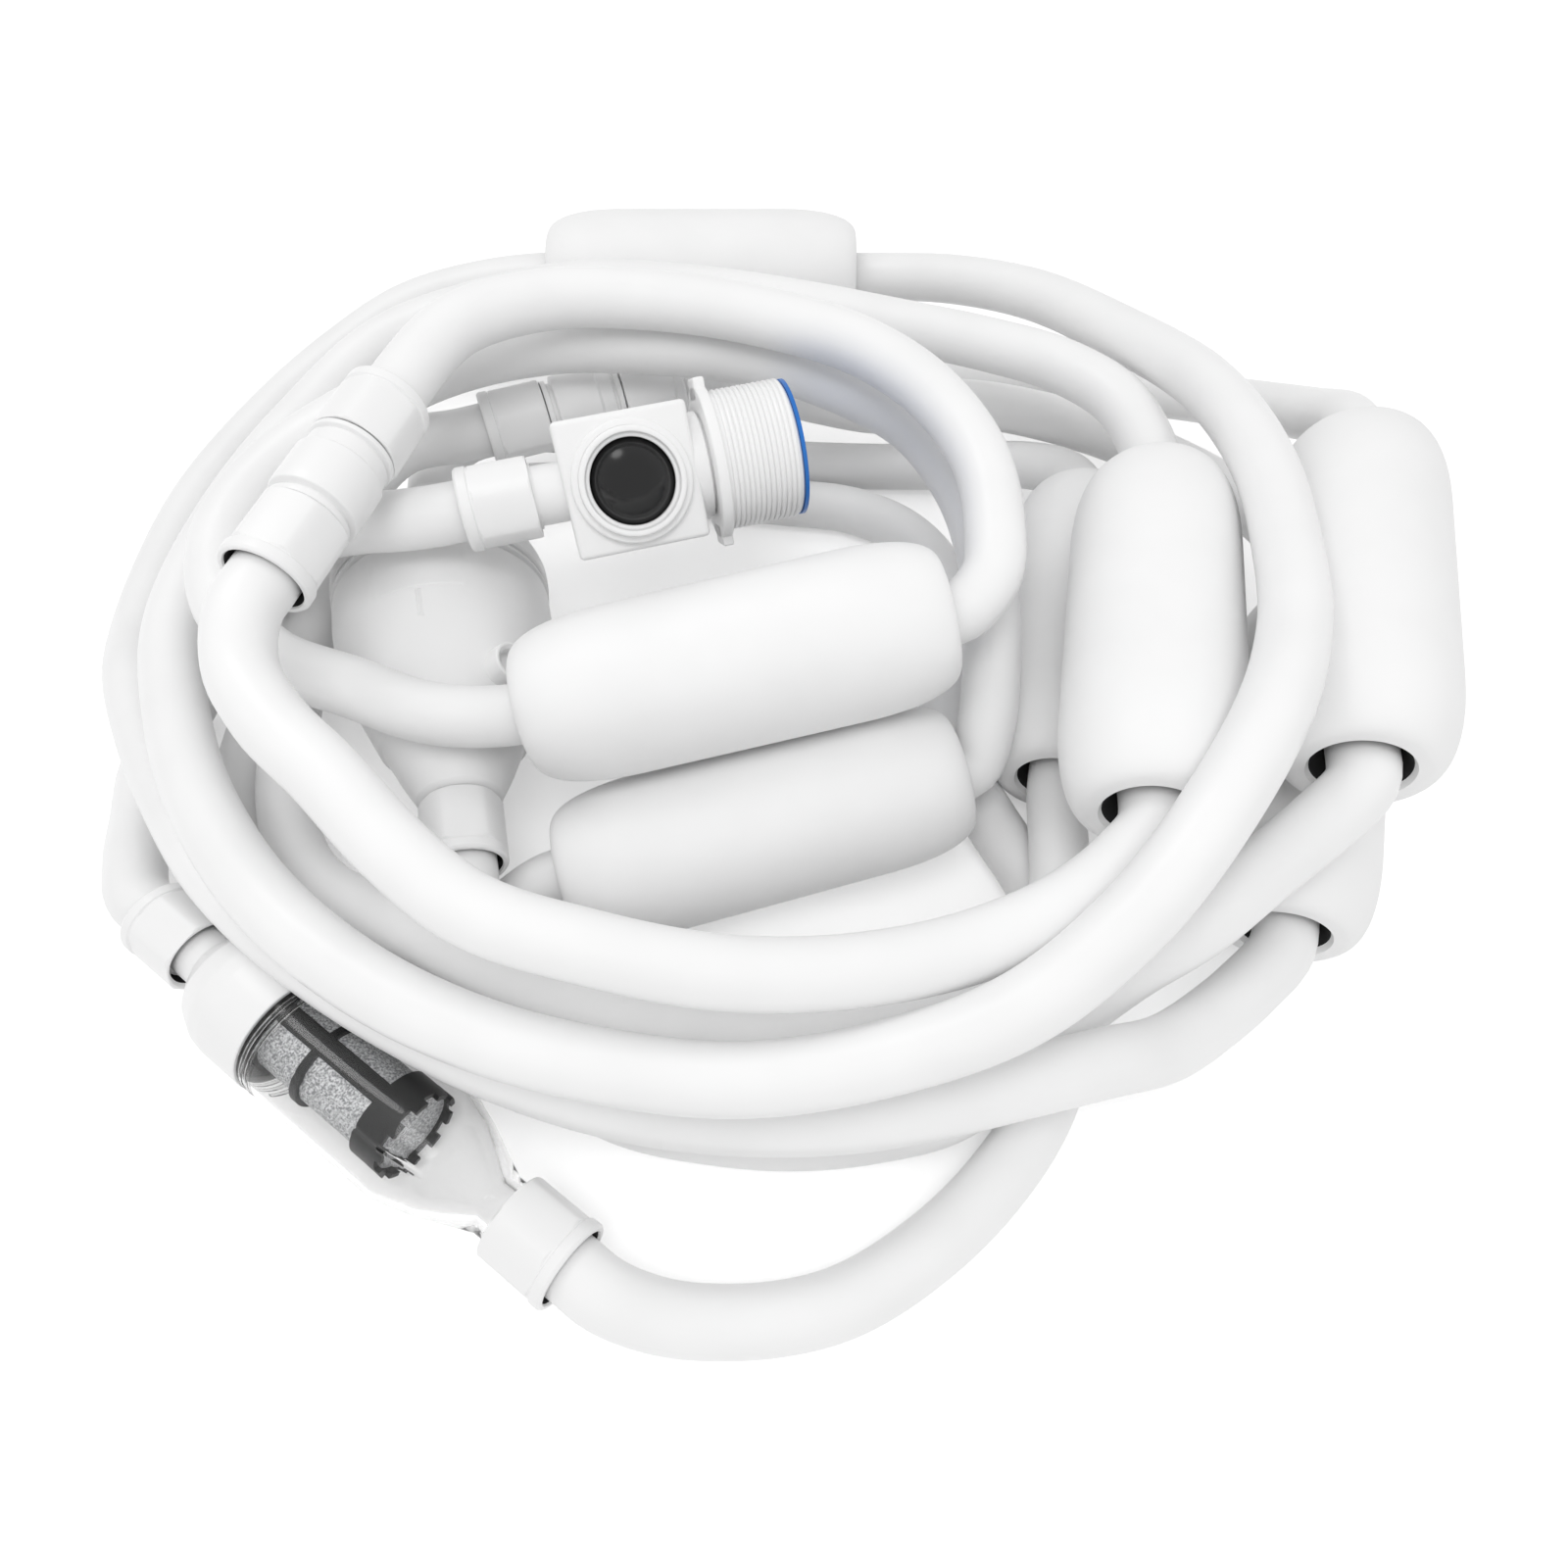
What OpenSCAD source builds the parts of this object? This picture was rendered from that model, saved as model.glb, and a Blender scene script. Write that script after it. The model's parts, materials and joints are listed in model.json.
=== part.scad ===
// Feed hose of a pool cleaner, put down in a loose coil.
// Millimetres, +Z up. The origin is the middle of the coil's footprint, on the floor.
// A piece is drawn along +Z and then laid in the coil by place() or by the block's own frame.

/* [Hose] */
// Outside diameter of the soft hose
hose_d = 26; // [23:1:27]
// Diameter of the hose's bore
hose_bore_d = 19; // [17:0.5:21]
// Longest step between two rings of the hose's skin
ring_step = 62; // [40:2:80]

/* [Floats] */
// Outside diameter of a float
float_d = 72; // [60:1:90]
// Length of a float
float_len = 180; // [140:5:220]
// Length of each rounded end of a float
float_end_len = 44; // [20:2:60]
// Diameter of a float's end face
float_face_d = 45; // [38:1:56]
// Diameter of the flared mouth at each end of a float
float_mouth_d = 37; // [30:1:44]
// Depth of the flared mouth
float_mouth_depth = 16; // [8:1:30]

/* [Hose nuts] */
// Size across the flats of a hose nut
nut_flats = 34; // [33:1:42]
// Diameter over a hose nut's rounded corners
nut_d = 36; // [35:1:46]
// Length of a hose nut
nut_len = 31; // [26:1:36]
// Length of the round collar at the hose end of a nut
nut_collar_len = 6; // [3:1:10]
// Diameter of the threaded spigot inside a nut
spigot_d = 28; // [27:0.5:29]
// Diameter of the water way through the fittings
way_d = 15; // [10:0.5:15.5]

/* [Swivels] */
// Length of a swivel over both of its nuts
swivel_len = 102; // [98:1:130]
// Diameter of a swivel's turning sleeve
swivel_d = 36; // [35:1:44]
// Diameter of the spindle that the sleeve turns on
spindle_d = 20; // [19:0.5:21]
// Diameter of a bearing ball
bearing_ball_d = 4; // [3:0.5:5]
// Number of balls in a bearing
bearing_balls = 16; // [8:1:17]

/* [Filter] */
// Length of the in-line filter over both of its nuts
filter_len = 240; // [240:2:270]
// Diameter of the filter's white cap
filter_cap_d = 56; // [50:1:66]
// Diameter of the filter's clear bowl
filter_bowl_d = 54; // [48:1:62]
// Wall of the clear bowl
filter_wall = 2.2; // [1.6:0.1:3]
// Diameter of the basket's frame
basket_d = 38; // [32:1:42]
// Length of the basket
basket_len = 76; // [60:1:80]

/* [Back-up valve] */
// Diameter of the valve's bulb
valve_d = 103; // [90:1:116]
// Wall of the valve's housing
valve_wall = 3; // [2:0.5:4]
// Number of paddles on the turbine
turbine_paddles = 12; // [8:1:16]
// Number of teeth on the turbine's pinion
pinion_teeth = 12; // [10:2:14]
// Number of teeth on the timing gear
gear_teeth = 36; // [24:2:38]
// Size of one tooth, as pitch diameter over teeth
gear_module = 1; // [0.8:0.1:1.2]

/* [Wall connection] */
// Side of the quick disconnect block
block_size = 57; // [54:1:70]
// Depth of the block, from its back to the face around the boss
block_depth = 46; // [44:1:56]
// Diameter of the round boss on the block
boss_d = 51; // [50:0.5:54]
// Diameter of the relief valve's ball
ball_d = 40; // [38:0.5:40]
// Travel of the relief ball into its chamber
ball_travel = 6; // [3:1:8]
// Diameter over the wall fitting's outer thread
thread_d = 60.3; // [48:0.1:76]
// Length of the wall fitting's outer thread
thread_len = 33; // [25:1:45]
// Size of the wall fitting's flange across its two ears
flange_ears = 72; // [68:1:86]
// Diameter of the hole in the restrictor disk
restrictor_hole_d = 15; // [8:1:20]

/* [Node choice] */
// Sub-part that is drawn

/* [Hidden] */
$fn = 96;
play = 0.3;          // gap between pieces that move past each other
fit = 0.05;          // radial running clearance in a bearing
hose_sides = 8;
hose_skin_r = hose_d / 2 + 0.2;
hose_tight_r = hose_bore_d / 2 / cos(180 / hose_sides);
passage_r = hose_skin_r + play;
seat = 16;           // depth of a hose's end inside its nut
stub = 12;           // straight hose kept outside a nut
float_stub = 6;      // straight hose kept outside a float
float_half = float_len / 2;

// Where the coil stands against the origin
lay = [27, -26, 0];

// Centre, turn about Z and rise of each straight piece, in the coil's own frame
filter_at = [-175, -178, 28];
filter_turn = -36;
valve_at = [-163, 29, 51.5];
valve_turn = -77;
swivel_1_at = [-178, 18, 158];
swivel_1_turn = 74;
swivel_2_at = [-103, 153, 84];
swivel_2_turn = 20;
block_at = [-68.5, 59.5, 122.5];
block_turn = 15.5;
block_roll = 50;
end_at = [-160, 293, 21.5];
end_turn = 190;
float_at = [
    [-48, 293, 63], [-20, -25.5, 101], [-9, -68.5, 41], [154, -15, 107],
    [144, 44, 36], [244, 4, 109], [239, -34, 36]
];
float_turn = [180, 10.6, 14, 79, 78, 75, 72];
float_rise = [0, 7.5, 6, -2, 0, 0, 0];

// Stations along the axis of the filter, the valve and the block
valve_top = -87;
valve_seam = -22;
valve_end = 128;
valve_neck = valve_end - nut_len;
neck_len = 13;
neck_seat = 6;
neck_r = 12.8;
block_nut_end = -(block_size / 2 + neck_len + nut_len);
fitting_start = block_size / 2 + 6;
pipe_start = 22.5;
groove_start = 24.5;
end_len = 54;
spindle_half = swivel_len / 2 - seat;
sleeve_half = swivel_len / 2 - nut_len - 0.6;

white = [0.94, 0.94, 0.93];
clear = [0.85, 0.89, 0.9, 0.35];
dark_grey = [0.17, 0.17, 0.18];
steel = [0.75, 0.76, 0.78];
black = [0.02, 0.02, 0.02];
blue = [0.1, 0.42, 0.75];

// ---------- routes ----------

function aim(turn, rise = 0) = [cos(rise) * cos(turn), cos(rise) * sin(turn), sin(rise)];

// Straight start or end of a hose in a nut whose mouth is at p and opens along d.
function port(p, d) = [p - seat * d, p + 2 * d, p + stub * d];
function backward(list) = [for (i = [len(list) - 1:-1:0]) list[i]];

// Straight run of a hose through float i.
function run(i) =
    let (d = aim(float_turn[i], float_rise[i]), c = float_at[i])
    [c - (float_half + float_stub) * d, c - (float_half - float_mouth_depth) * d,
     c + (float_half - float_mouth_depth) * d, c + (float_half + float_stub) * d];

block_axis = aim(block_turn);
filter_axis = aim(filter_turn);
valve_axis = aim(valve_turn);
swivel_1_axis = aim(swivel_1_turn);
swivel_2_axis = aim(swivel_2_turn);
end_axis = aim(end_turn);

hose_1_route = concat(
    port(block_at + block_nut_end * block_axis, -block_axis),
    [[-163, 35, 122], [-184, 36, 119], [-205, 40, 110], [-224, 46, 92], [-243, 50, 70],
     [-265, 46, 48],
     [-285, 34, 29], [-300, 8, 16], [-309, -22, 13], [-304, -52, 14], [-294, -80, 22]],
    backward(port(filter_at - filter_len / 2 * filter_axis, -filter_axis)));

hose_2_route = concat(
    port(filter_at + filter_len / 2 * filter_axis, filter_axis),
    [[-48, -263, 20], [-20, -265, 13], [20, -259, 13], [55, -240, 13], [83, -216, 13],
     [105, -188, 13], [119, -155, 13], [124, -120, 13], [114, -85, 13], [99, -54, 13],
     [86, -22, 13], [81, 10, 13], [86, 42, 13], [90, 75, 13], [85, 107, 13],
     [68, 133, 13], [40, 150, 13], [0, 157, 13], [-50, 163, 13], [-105, 170, 13],
     [-157, 168, 13], [-204, 146, 13], [-240, 108, 13], [-258, 60, 13], [-263, 8, 13],
     [-260, -42, 13], [-242, -80, 13], [-216, -103, 13], [-188, -112, 13],
     [-160, -112, 15], [-137, -110, 18]],
    run(2),
    [[90, -30, 62], [93, -8, 71], [95, 24, 78], [93, 56, 84], [84, 90, 90],
     [62, 120, 100], [25, 138, 110], [-20, 148, 118], [-62, 151, 121], [-115, 150, 122],
     [-165, 138, 118], [-205, 114, 112], [-238, 82, 107], [-251, 45, 104],
     [-243, 8, 101], [-216, -20, 98], [-178, -36, 98], [-146, -46, 94]],
    run(1),
    [[86, 6, 117], [90, 34, 122], [86, 66, 128], [68, 98, 135], [38, 124, 140],
     [-9, 140, 145], [-62, 147, 149], [-108, 140, 154], [-142, 118, 158]],
    backward(port(swivel_1_at + swivel_len / 2 * swivel_1_axis, swivel_1_axis)));

hose_3_route = concat(
    port(swivel_1_at - swivel_len / 2 * swivel_1_axis, -swivel_1_axis),
    [[-195, -64, 151], [-182, -84, 147], [-160, -104, 142], [-133, -130, 134],
     [-108, -148, 127], [-66, -160, 120], [-17, -167, 114], [25, -164, 109],
     [69, -153, 106], [104, -137, 107], [126, -120, 109]],
    run(3),
    [[172, 104, 104], [163, 135, 104], [140, 160, 103], [105, 178, 102], [60, 196, 100],
     [5, 216, 98], [-54, 232, 96], [-107, 239, 94], [-161, 229, 90], [-212, 206, 85],
     [-250, 150, 78], [-275, 80, 74], [-278, 13, 75], [-259, -39, 80], [-230, -88, 88],
     [-190, -133, 92], [-143, -165, 90], [-104, -181, 88], [-67, -190, 87],
     [-15, -196, 89], [37, -190, 96], [80, -178, 110], [116, -154, 129],
     [148, -118, 145], [172, -82, 151], [190, -42, 147], [201, 5, 140], [205, 50, 136],
     [197, 113, 127],
     [170, 180, 108], [134, 235, 92], [98, 268, 78]],
    run(0),
    [[-180, 292, 59], [-225, 281, 52], [-267, 252, 40], [-302, 203, 32], [-326, 145, 27],
     [-331, 90, 27], [-328, 47, 29], [-313, 10, 41], [-292, -28, 46], [-264, -68, 53],
     [-230, -107, 61], [-190, -139, 63], [-150, -163, 61], [-112, -180, 55],
     [-68, -192, 44], [-19, -198, 40], [25, -198, 44], [65, -193, 52], [92, -188, 59],
     [119, -182, 61], [147, -173, 50], [171, -158, 40], [191, -143, 36]],
    run(6),
    [[269, 78, 36], [264, 108, 36], [248, 136, 36], [220, 160, 38], [185, 180, 40],
     [145, 196, 42], [100, 204, 44], [55, 198, 44], [18, 194, 55], [-10, 187, 70],
     [-30, 180, 80]],
    backward(port(swivel_2_at + swivel_len / 2 * swivel_2_axis, swivel_2_axis)));

hose_4_route = concat(
    port(swivel_2_at - swivel_len / 2 * swivel_2_axis, -swivel_2_axis),
    [[-190, 120, 86], [-215, 102, 71], [-233, 78, 47], [-240, 50, 33], [-240, 20, 30],
     [-238, -12, 27], [-232, -47, 26], [-217, -79, 32], [-196, -102, 44],
     [-167, -120, 59], [-143, -132, 70], [-112, -147, 70], [-76, -156, 59],
     [-40, -159, 49], [0, -160, 45], [38, -157, 43], [75, -147, 41], [102, -130, 40],
     [117, -104, 41], [121, -78, 39]],
    run(4),
    [[158, 158, 33], [138, 172, 27], [105, 181, 18], [60, 186, 13], [0, 189, 13],
     [-50, 196, 13], [-95, 203, 18], [-150, 194, 34], [-178, 170, 46]],
    backward(port(valve_at + valve_top * valve_axis, -valve_axis)));

hose_5_route = concat(
    port(valve_at + valve_end * valve_axis, valve_axis),
    [[-127, -123, 46], [-119, -142, 33], [-101, -166, 18], [-70, -186, 13],
     [-27, -196, 13], [8, -198, 13], [38, -195, 14], [64, -190, 21], [89, -176, 33],
     [113, -157, 42], [137, -142, 54], [163, -129, 65], [188, -112, 84], [206, -100, 100]],
    run(5),
    [[272, 118, 104], [268, 142, 88], [250, 176, 66], [222, 206, 48], [185, 232, 33],
     [135, 254, 21], [85, 270, 13], [30, 284, 13], [-30, 293, 13], [-85, 296, 13],
     [-128, 297, 15]],
    backward(port(end_at, -end_axis)));

// ---------- hose skin ----------

function neighbour(p, i) =
    i < 0 ? 2 * p[0] - p[1] :
    i >= len(p) ? 2 * p[len(p) - 1] - p[len(p) - 2] : p[i];

// Direction of a route at point i, where the shorter span counts most.
function heading(p, i) =
    let (a = p[i] - neighbour(p, i - 1), b = neighbour(p, i + 1) - p[i])
    (a / norm(a) * norm(b) + b / norm(b) * norm(a)) / (norm(a) + norm(b));

// Point on the smooth curve from point i to point i + 1.
function on_span(p, i, t) =
    let (l = norm(p[i + 1] - p[i]))
    (2 * t ^ 3 - 3 * t ^ 2 + 1) * p[i] + (t ^ 3 - 2 * t ^ 2 + t) * l * heading(p, i)
    + (3 * t ^ 2 - 2 * t ^ 3) * p[i + 1] + (t ^ 3 - t ^ 2) * l * heading(p, i + 1);

function rings_of(p, i) = ceil(norm(p[i + 1] - p[i]) / ring_step);

function centres(p) = concat(
    [for (i = [0:len(p) - 2]) for (k = [0:rings_of(p, i) - 1]) on_span(p, i, k / rings_of(p, i))],
    [p[len(p) - 1]]);

function ring(c, i, r) =
    let (along = neighbour(c, i + 1) - neighbour(c, i - 1),
         side = cross(along, [0, 0, 1]) / norm(cross(along, [0, 0, 1])),
         up = cross(side, along) / norm(along))
    [for (k = [0:hose_sides - 1])
        let (a = 360 * (k + 0.5) / hose_sides, v = c[i] + r * (cos(a) * side + sin(a) * up))
        [v[0], v[1], max(v[2], 0)]];

function length_of(c) = len(c) < 2 ? 0 :
    [for (i = 1, s = norm(c[1] - c[0]); i < len(c); i = i + 1,
        s = s + (i < len(c) ? norm(c[i] - c[i - 1]) : 0)) s][len(c) - 2];

// Least gap between two turns of one hose, on points at least eight rings apart.
function self_gap(c) = min([for (i = [0:len(c) - 1]) for (j = [i + 8:1:len(c) - 1])
    norm(c[i] - c[j])]) - hose_d;

module hose(route) {
    c = centres(route);
    n = len(c);
    s = hose_sides;
    inner = n * s;
    skin = [for (i = [0:n - 1]) for (v = ring(c, i, hose_skin_r)) v + lay];
    bore = [for (i = [0:n - 1]) for (v = ring(c, i, hose_tight_r)) v + lay];
    walls = [for (i = [0:n - 2]) for (k = [0:s - 1])
        let (a = i * s + k, b = i * s + (k + 1) % s)
        each [[a, b, b + s], [a, b + s, a + s],
              [inner + a, inner + b + s, inner + b], [inner + a, inner + a + s, inner + b + s]]];
    ends = [for (k = [0:s - 1])
        let (b = (k + 1) % s, e = (n - 1) * s)
        each [[k, inner + k, inner + b], [k, inner + b, b],
              [e + k, inner + e + b, inner + e + k], [e + k, e + b, inner + e + b]]];
    color(white)
    polyhedron(concat(skin, bore), concat(walls, ends), convexity = 10);
    echo(hose_length = length_of(c), rings = n, self_gap = self_gap(c));
}

// ---------- places ----------

// Lays a piece drawn along +Z with its origin at p, along the direction turn and rise.
module place(p, turn, rise = 0) {
    translate(p + lay)
    rotate([0, 90 - rise, turn])
    children();
}

module in_filter() {
    place(filter_at - filter_len / 2 * filter_axis, filter_turn)
    children();
}

module in_valve() {
    place(valve_at, valve_turn)
    children();
}

// Frame of the block: +X along the water way towards the wall, +Z out of the boss.
module in_block() {
    translate(block_at + lay)
    rotate([block_roll, 0, block_turn])
    children();
}

module along_x(x) {
    translate([x, 0, 0])
    rotate([0, 90, 0])
    children();
}

module tube(r, bore_r, len) {
    difference() {
        cylinder(h = len, r = r);
        translate([0, 0, -1])
        cylinder(h = len + 2, r = bore_r);
    }
}

// Ring of round section around +Z.
module o_ring(mid_r, wire_r) {
    rotate_extrude()
    translate([mid_r, 0])
    circle(wire_r, $fn = 32);
}

// ---------- hose nut ----------

// The mouth for the hose is at z = 0 and the threaded spigot enters from the far end.
module hose_nut() {
    color(white)
    difference() {
        union() {
            rotate_extrude()
            polygon([[0, 0], [nut_d / 2 - 1.4, 0], [nut_d / 2 - 0.4, 1],
                [nut_d / 2 - 0.4, nut_collar_len - 1], [nut_d / 2 - 1, nut_collar_len],
                [0, nut_collar_len]]);
            intersection() {
                translate([0, 0, nut_collar_len - 1])
                cylinder(h = nut_len - nut_collar_len + 1, r = nut_flats / sqrt(3), $fn = 6);
                rotate_extrude()
                polygon([[0, 0], [nut_d / 2, 0], [nut_d / 2, nut_len - 2],
                    [nut_d / 2 - 1.5, nut_len], [0, nut_len]]);
            }
        }
        rotate_extrude()
        polygon([[0, -1], [passage_r + 1.6, -1], [passage_r + 0.3, 3], [passage_r + 0.3, seat],
            [spigot_d / 2 + play, seat], [spigot_d / 2 + play, nut_len + 1], [0, nut_len + 1]]);
    }
}

// Spigot that a nut screws on: its face is at z = 0 and its barb enters the hose towards -Z.
module spigot(len) {
    difference() {
        rotate_extrude()
        polygon([[0, -14], [hose_bore_d / 2 - 1.2, -14], [hose_bore_d / 2 - 0.1, -9],
            [hose_bore_d / 2 - 0.1, 0.2], [spigot_d / 2 - 1, 0.2], [spigot_d / 2, 1.2],
            [spigot_d / 2, len], [0, len]]);
        translate([0, 0, -15])
        cylinder(h = len + 16, r = way_d / 2);
    }
}

// ---------- floats ----------

function float_profile() = concat(
    [[passage_r, float_half - float_mouth_depth], [passage_r + 0.6, float_half - float_mouth_depth + 4],
     [float_mouth_d / 2, float_half - 1], [float_mouth_d / 2 + 1, float_half]],
    [for (a = [90:-10:0])
        [float_face_d / 2 + (float_d - float_face_d) / 2 * cos(a),
         float_half - float_end_len * (1 - sin(a))]]);

module hose_float(i) {
    half = float_profile();
    color(white)
    place(float_at[i], float_turn[i], float_rise[i])
    rotate_extrude()
    polygon(concat(half, [for (v = backward(half)) [v[0], -v[1]]]));
}

// ---------- swivels ----------

module swivel_place(n) {
    if (n == 1) place(swivel_1_at, swivel_1_turn)
        children();
    if (n == 2) place(swivel_2_at, swivel_2_turn)
        children();
}

module swivel_nut(n, end) {
    swivel_place(n)
    rotate([end == "a" ? 0 : 180, 0, 0])
    translate([0, 0, -swivel_len / 2])
    hose_nut();
}

race_r = spindle_d / 2 + bearing_ball_d / 2 + fit;
race_len = 8;

module swivel_spindle(n) {
    color(white)
    swivel_place(n)
    difference() {
        union() {
            for (side = [0, 180])
                rotate([side, 0, 0])
                translate([0, 0, -spindle_half])
                spigot(spindle_half - sleeve_half - 0.4);
            translate([0, 0, -sleeve_half - 1])
            cylinder(h = 2 * sleeve_half + 2, r = spindle_d / 2);
        }
        translate([0, 0, -sleeve_half - 2])
        cylinder(h = 2 * sleeve_half + 4, r = way_d / 2);
    }
}

module swivel_sleeve(n) {
    color(white)
    swivel_place(n)
    difference() {
        rotate_extrude()
        polygon([[0, -sleeve_half], [swivel_d / 2 - 2.5, -sleeve_half],
            [swivel_d / 2 - 2.5, -sleeve_half + 5], [swivel_d / 2 - 1, -sleeve_half + 6],
            [swivel_d / 2, -sleeve_half + 7], [swivel_d / 2, sleeve_half - 12],
            [swivel_d / 2 - 1.6, sleeve_half - 11], [swivel_d / 2 - 1.6, sleeve_half],
            [0, sleeve_half]]);
        translate([0, 0, -sleeve_half - 1])
        cylinder(h = 2 * sleeve_half + 2, r = spindle_d / 2 + fit);
        translate([0, 0, 3])
        cylinder(h = race_len, r = race_r + bearing_ball_d / 2 + fit);
        translate([0, 0, -11])
        cylinder(h = 3.6, r = spindle_d / 2 + 3.1);
    }
}

module swivel_balls(n) {
    color(steel)
    swivel_place(n)
    for (k = [0:bearing_balls - 1])
        rotate([0, 0, 360 * k / bearing_balls])
        translate([race_r, 0, 3 + race_len / 2])
        sphere(bearing_ball_d / 2, $fn = 24);
}

module swivel_seal(n) {
    color(black)
    swivel_place(n)
    translate([0, 0, -9.2])
    o_ring(spindle_d / 2 + 1.55, 1.5);
}

// ---------- filter ----------

cap_start = 42;
cap_end = 88;
bowl_shoulder = 162;
bowl_neck = 206;
basket_start = 84;
bowl_r = filter_bowl_d / 2;
cap_r = filter_cap_d / 2;
filter_neck_r = spigot_d / 2 - 1.5;

module filter_inlet_nut() {
    in_filter()
    hose_nut();
}

module filter_outlet_nut() {
    in_filter()
    translate([0, 0, filter_len])
    rotate([180, 0, 0])
    hose_nut();
}

module filter_cap() {
    color(white)
    in_filter()
    union() {
        translate([0, 0, seat])
        spigot(nut_len - seat + 2);
        difference() {
            rotate_extrude()
            polygon([[0, nut_len + 1], [filter_neck_r, nut_len + 1], [filter_neck_r, cap_start - 3],
                [filter_neck_r + 5, cap_start + 1], [cap_r - 5, cap_start + 8],
                [cap_r - 1.5, cap_start + 14], [cap_r, cap_start + 20], [cap_r, cap_end], [0, cap_end]]);
            rotate_extrude()
            polygon([[0, nut_len], [way_d / 2, nut_len], [way_d / 2, cap_start],
                [cap_r - 9, cap_start + 10], [cap_r - 4.5, cap_start + 16], [cap_r - 4.5, cap_end - 8],
                [bowl_r - 0.9, cap_end - 8], [bowl_r - 0.9, cap_end + 1], [0, cap_end + 1]]);
        }
    }
}

module filter_bowl() {
    color(clear)
    in_filter()
    union() {
        difference() {
            rotate_extrude()
            polygon([[0, cap_end - 6], [bowl_r - 1, cap_end - 6], [bowl_r - 1, cap_end + 0.3],
                [bowl_r, cap_end + 0.3], [bowl_r, bowl_shoulder], [bowl_r - 1.5, bowl_shoulder + 8],
                [bowl_r - 5.5, bowl_shoulder + 18], [bowl_r - 10, bowl_shoulder + 29],
                [filter_neck_r, bowl_shoulder + 38], [filter_neck_r, bowl_neck + 6], [0, bowl_neck + 6]]);
            rotate_extrude()
            polygon([[0, cap_end - 7], [bowl_r - filter_wall - 1, cap_end - 7],
                [bowl_r - filter_wall - 1, cap_end], [bowl_r - filter_wall, cap_end + 1],
                [bowl_r - filter_wall, bowl_shoulder], [bowl_r - filter_wall - 1.5, bowl_shoulder + 7],
                [bowl_r - filter_wall - 5.5, bowl_shoulder + 16],
                [bowl_r - filter_wall - 10.5, bowl_shoulder + 26],
                [way_d / 2, bowl_shoulder + 37], [way_d / 2, bowl_neck + 7], [0, bowl_neck + 7]]);
        }
        translate([0, 0, filter_len - seat])
        rotate([180, 0, 0])
        spigot(nut_len - seat + 2);
    }
}

basket_r = basket_d / 2;
// the middle ring's start, the far band's start, and the spines' angles and width
basket_ring = 26;
basket_band = 60;
basket_spines = [63, 183, 303];
basket_spine_w = 8.6;

module filter_basket() {
    color(dark_grey)
    in_filter()
    translate([0, 0, basket_start])
    difference() {
        union() {
            tube(bowl_r - filter_wall - 1.3, basket_r - 2, 3);
            tube(basket_r, basket_r - 2, basket_len);
        }
        // windows between three spines and three rings
        for (z = [5, basket_ring + 3.4])
            translate([0, 0, z])
            difference() {
                cylinder(h = z < basket_ring ? basket_ring - z : basket_band - z, r = basket_r + 1);
                for (a = basket_spines)
                    rotate([0, 0, a])
                    translate([0, -basket_spine_w / 2, -1])
                    cube([basket_r + 2, basket_spine_w, basket_len]);
            }
        // notches round the far end
        for (a = [18:36:342])
            rotate([0, 0, a])
            translate([basket_r - 4, -3, basket_len - 2.6])
            cube([8, 6, 4]);
    }
}

module filter_mesh() {
    color(steel)
    in_filter()
    translate([0, 0, basket_start + 3.2]) {
        tube(basket_r - 2.15, basket_r - 2.75, basket_len - 7.2);
        translate([0, 0, basket_len - 7.8])
        cylinder(h = 0.6, r = basket_r - 2.15);
    }
}

module filter_seal() {
    color(black)
    in_filter()
    translate([0, 0, cap_end - 7.05])
    o_ring(bowl_r - 2.8, 0.9);
}

// ---------- back-up valve ----------

bulb_r = valve_d / 2;
valve_bore_r = bulb_r - valve_wall;
turbine_z = -38;
pinion_z = -16;
gear_z = -16;
plate_z = -8;
pinion_r = gear_module * pinion_teeth / 2;
gear_r = gear_module * gear_teeth / 2;

module valve_inlet_nut() {
    in_valve()
    translate([0, 0, valve_top])
    hose_nut();
}

module valve_outlet_nut() {
    in_valve()
    translate([0, 0, valve_end])
    rotate([180, 0, 0])
    hose_nut();
}

module valve_cap() {
    color(white)
    in_valve()
    union() {
        translate([0, 0, valve_top + seat])
        spigot(nut_len - seat + 2);
        difference() {
            rotate_extrude()
            polygon([[0, valve_top + nut_len + 1], [spigot_d / 2, valve_top + nut_len + 1],
                [spigot_d / 2 + 8, valve_top + nut_len + 3], [bulb_r - 9, valve_top + nut_len + 9],
                [bulb_r - 3.5, valve_top + nut_len + 15], [bulb_r - 1, valve_top + nut_len + 22],
                [bulb_r, valve_seam - 8], [bulb_r, valve_seam], [0, valve_seam]]);
            rotate_extrude()
            polygon([[0, valve_top + nut_len], [way_d / 2, valve_top + nut_len],
                [way_d / 2, valve_top + nut_len + 5], [bulb_r - 13, valve_top + nut_len + 12],
                [bulb_r - 6.5, valve_top + nut_len + 17], [valve_bore_r, valve_seam - 8],
                [valve_bore_r, valve_seam + 1], [0, valve_seam + 1]]);
        }
    }
}

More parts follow.
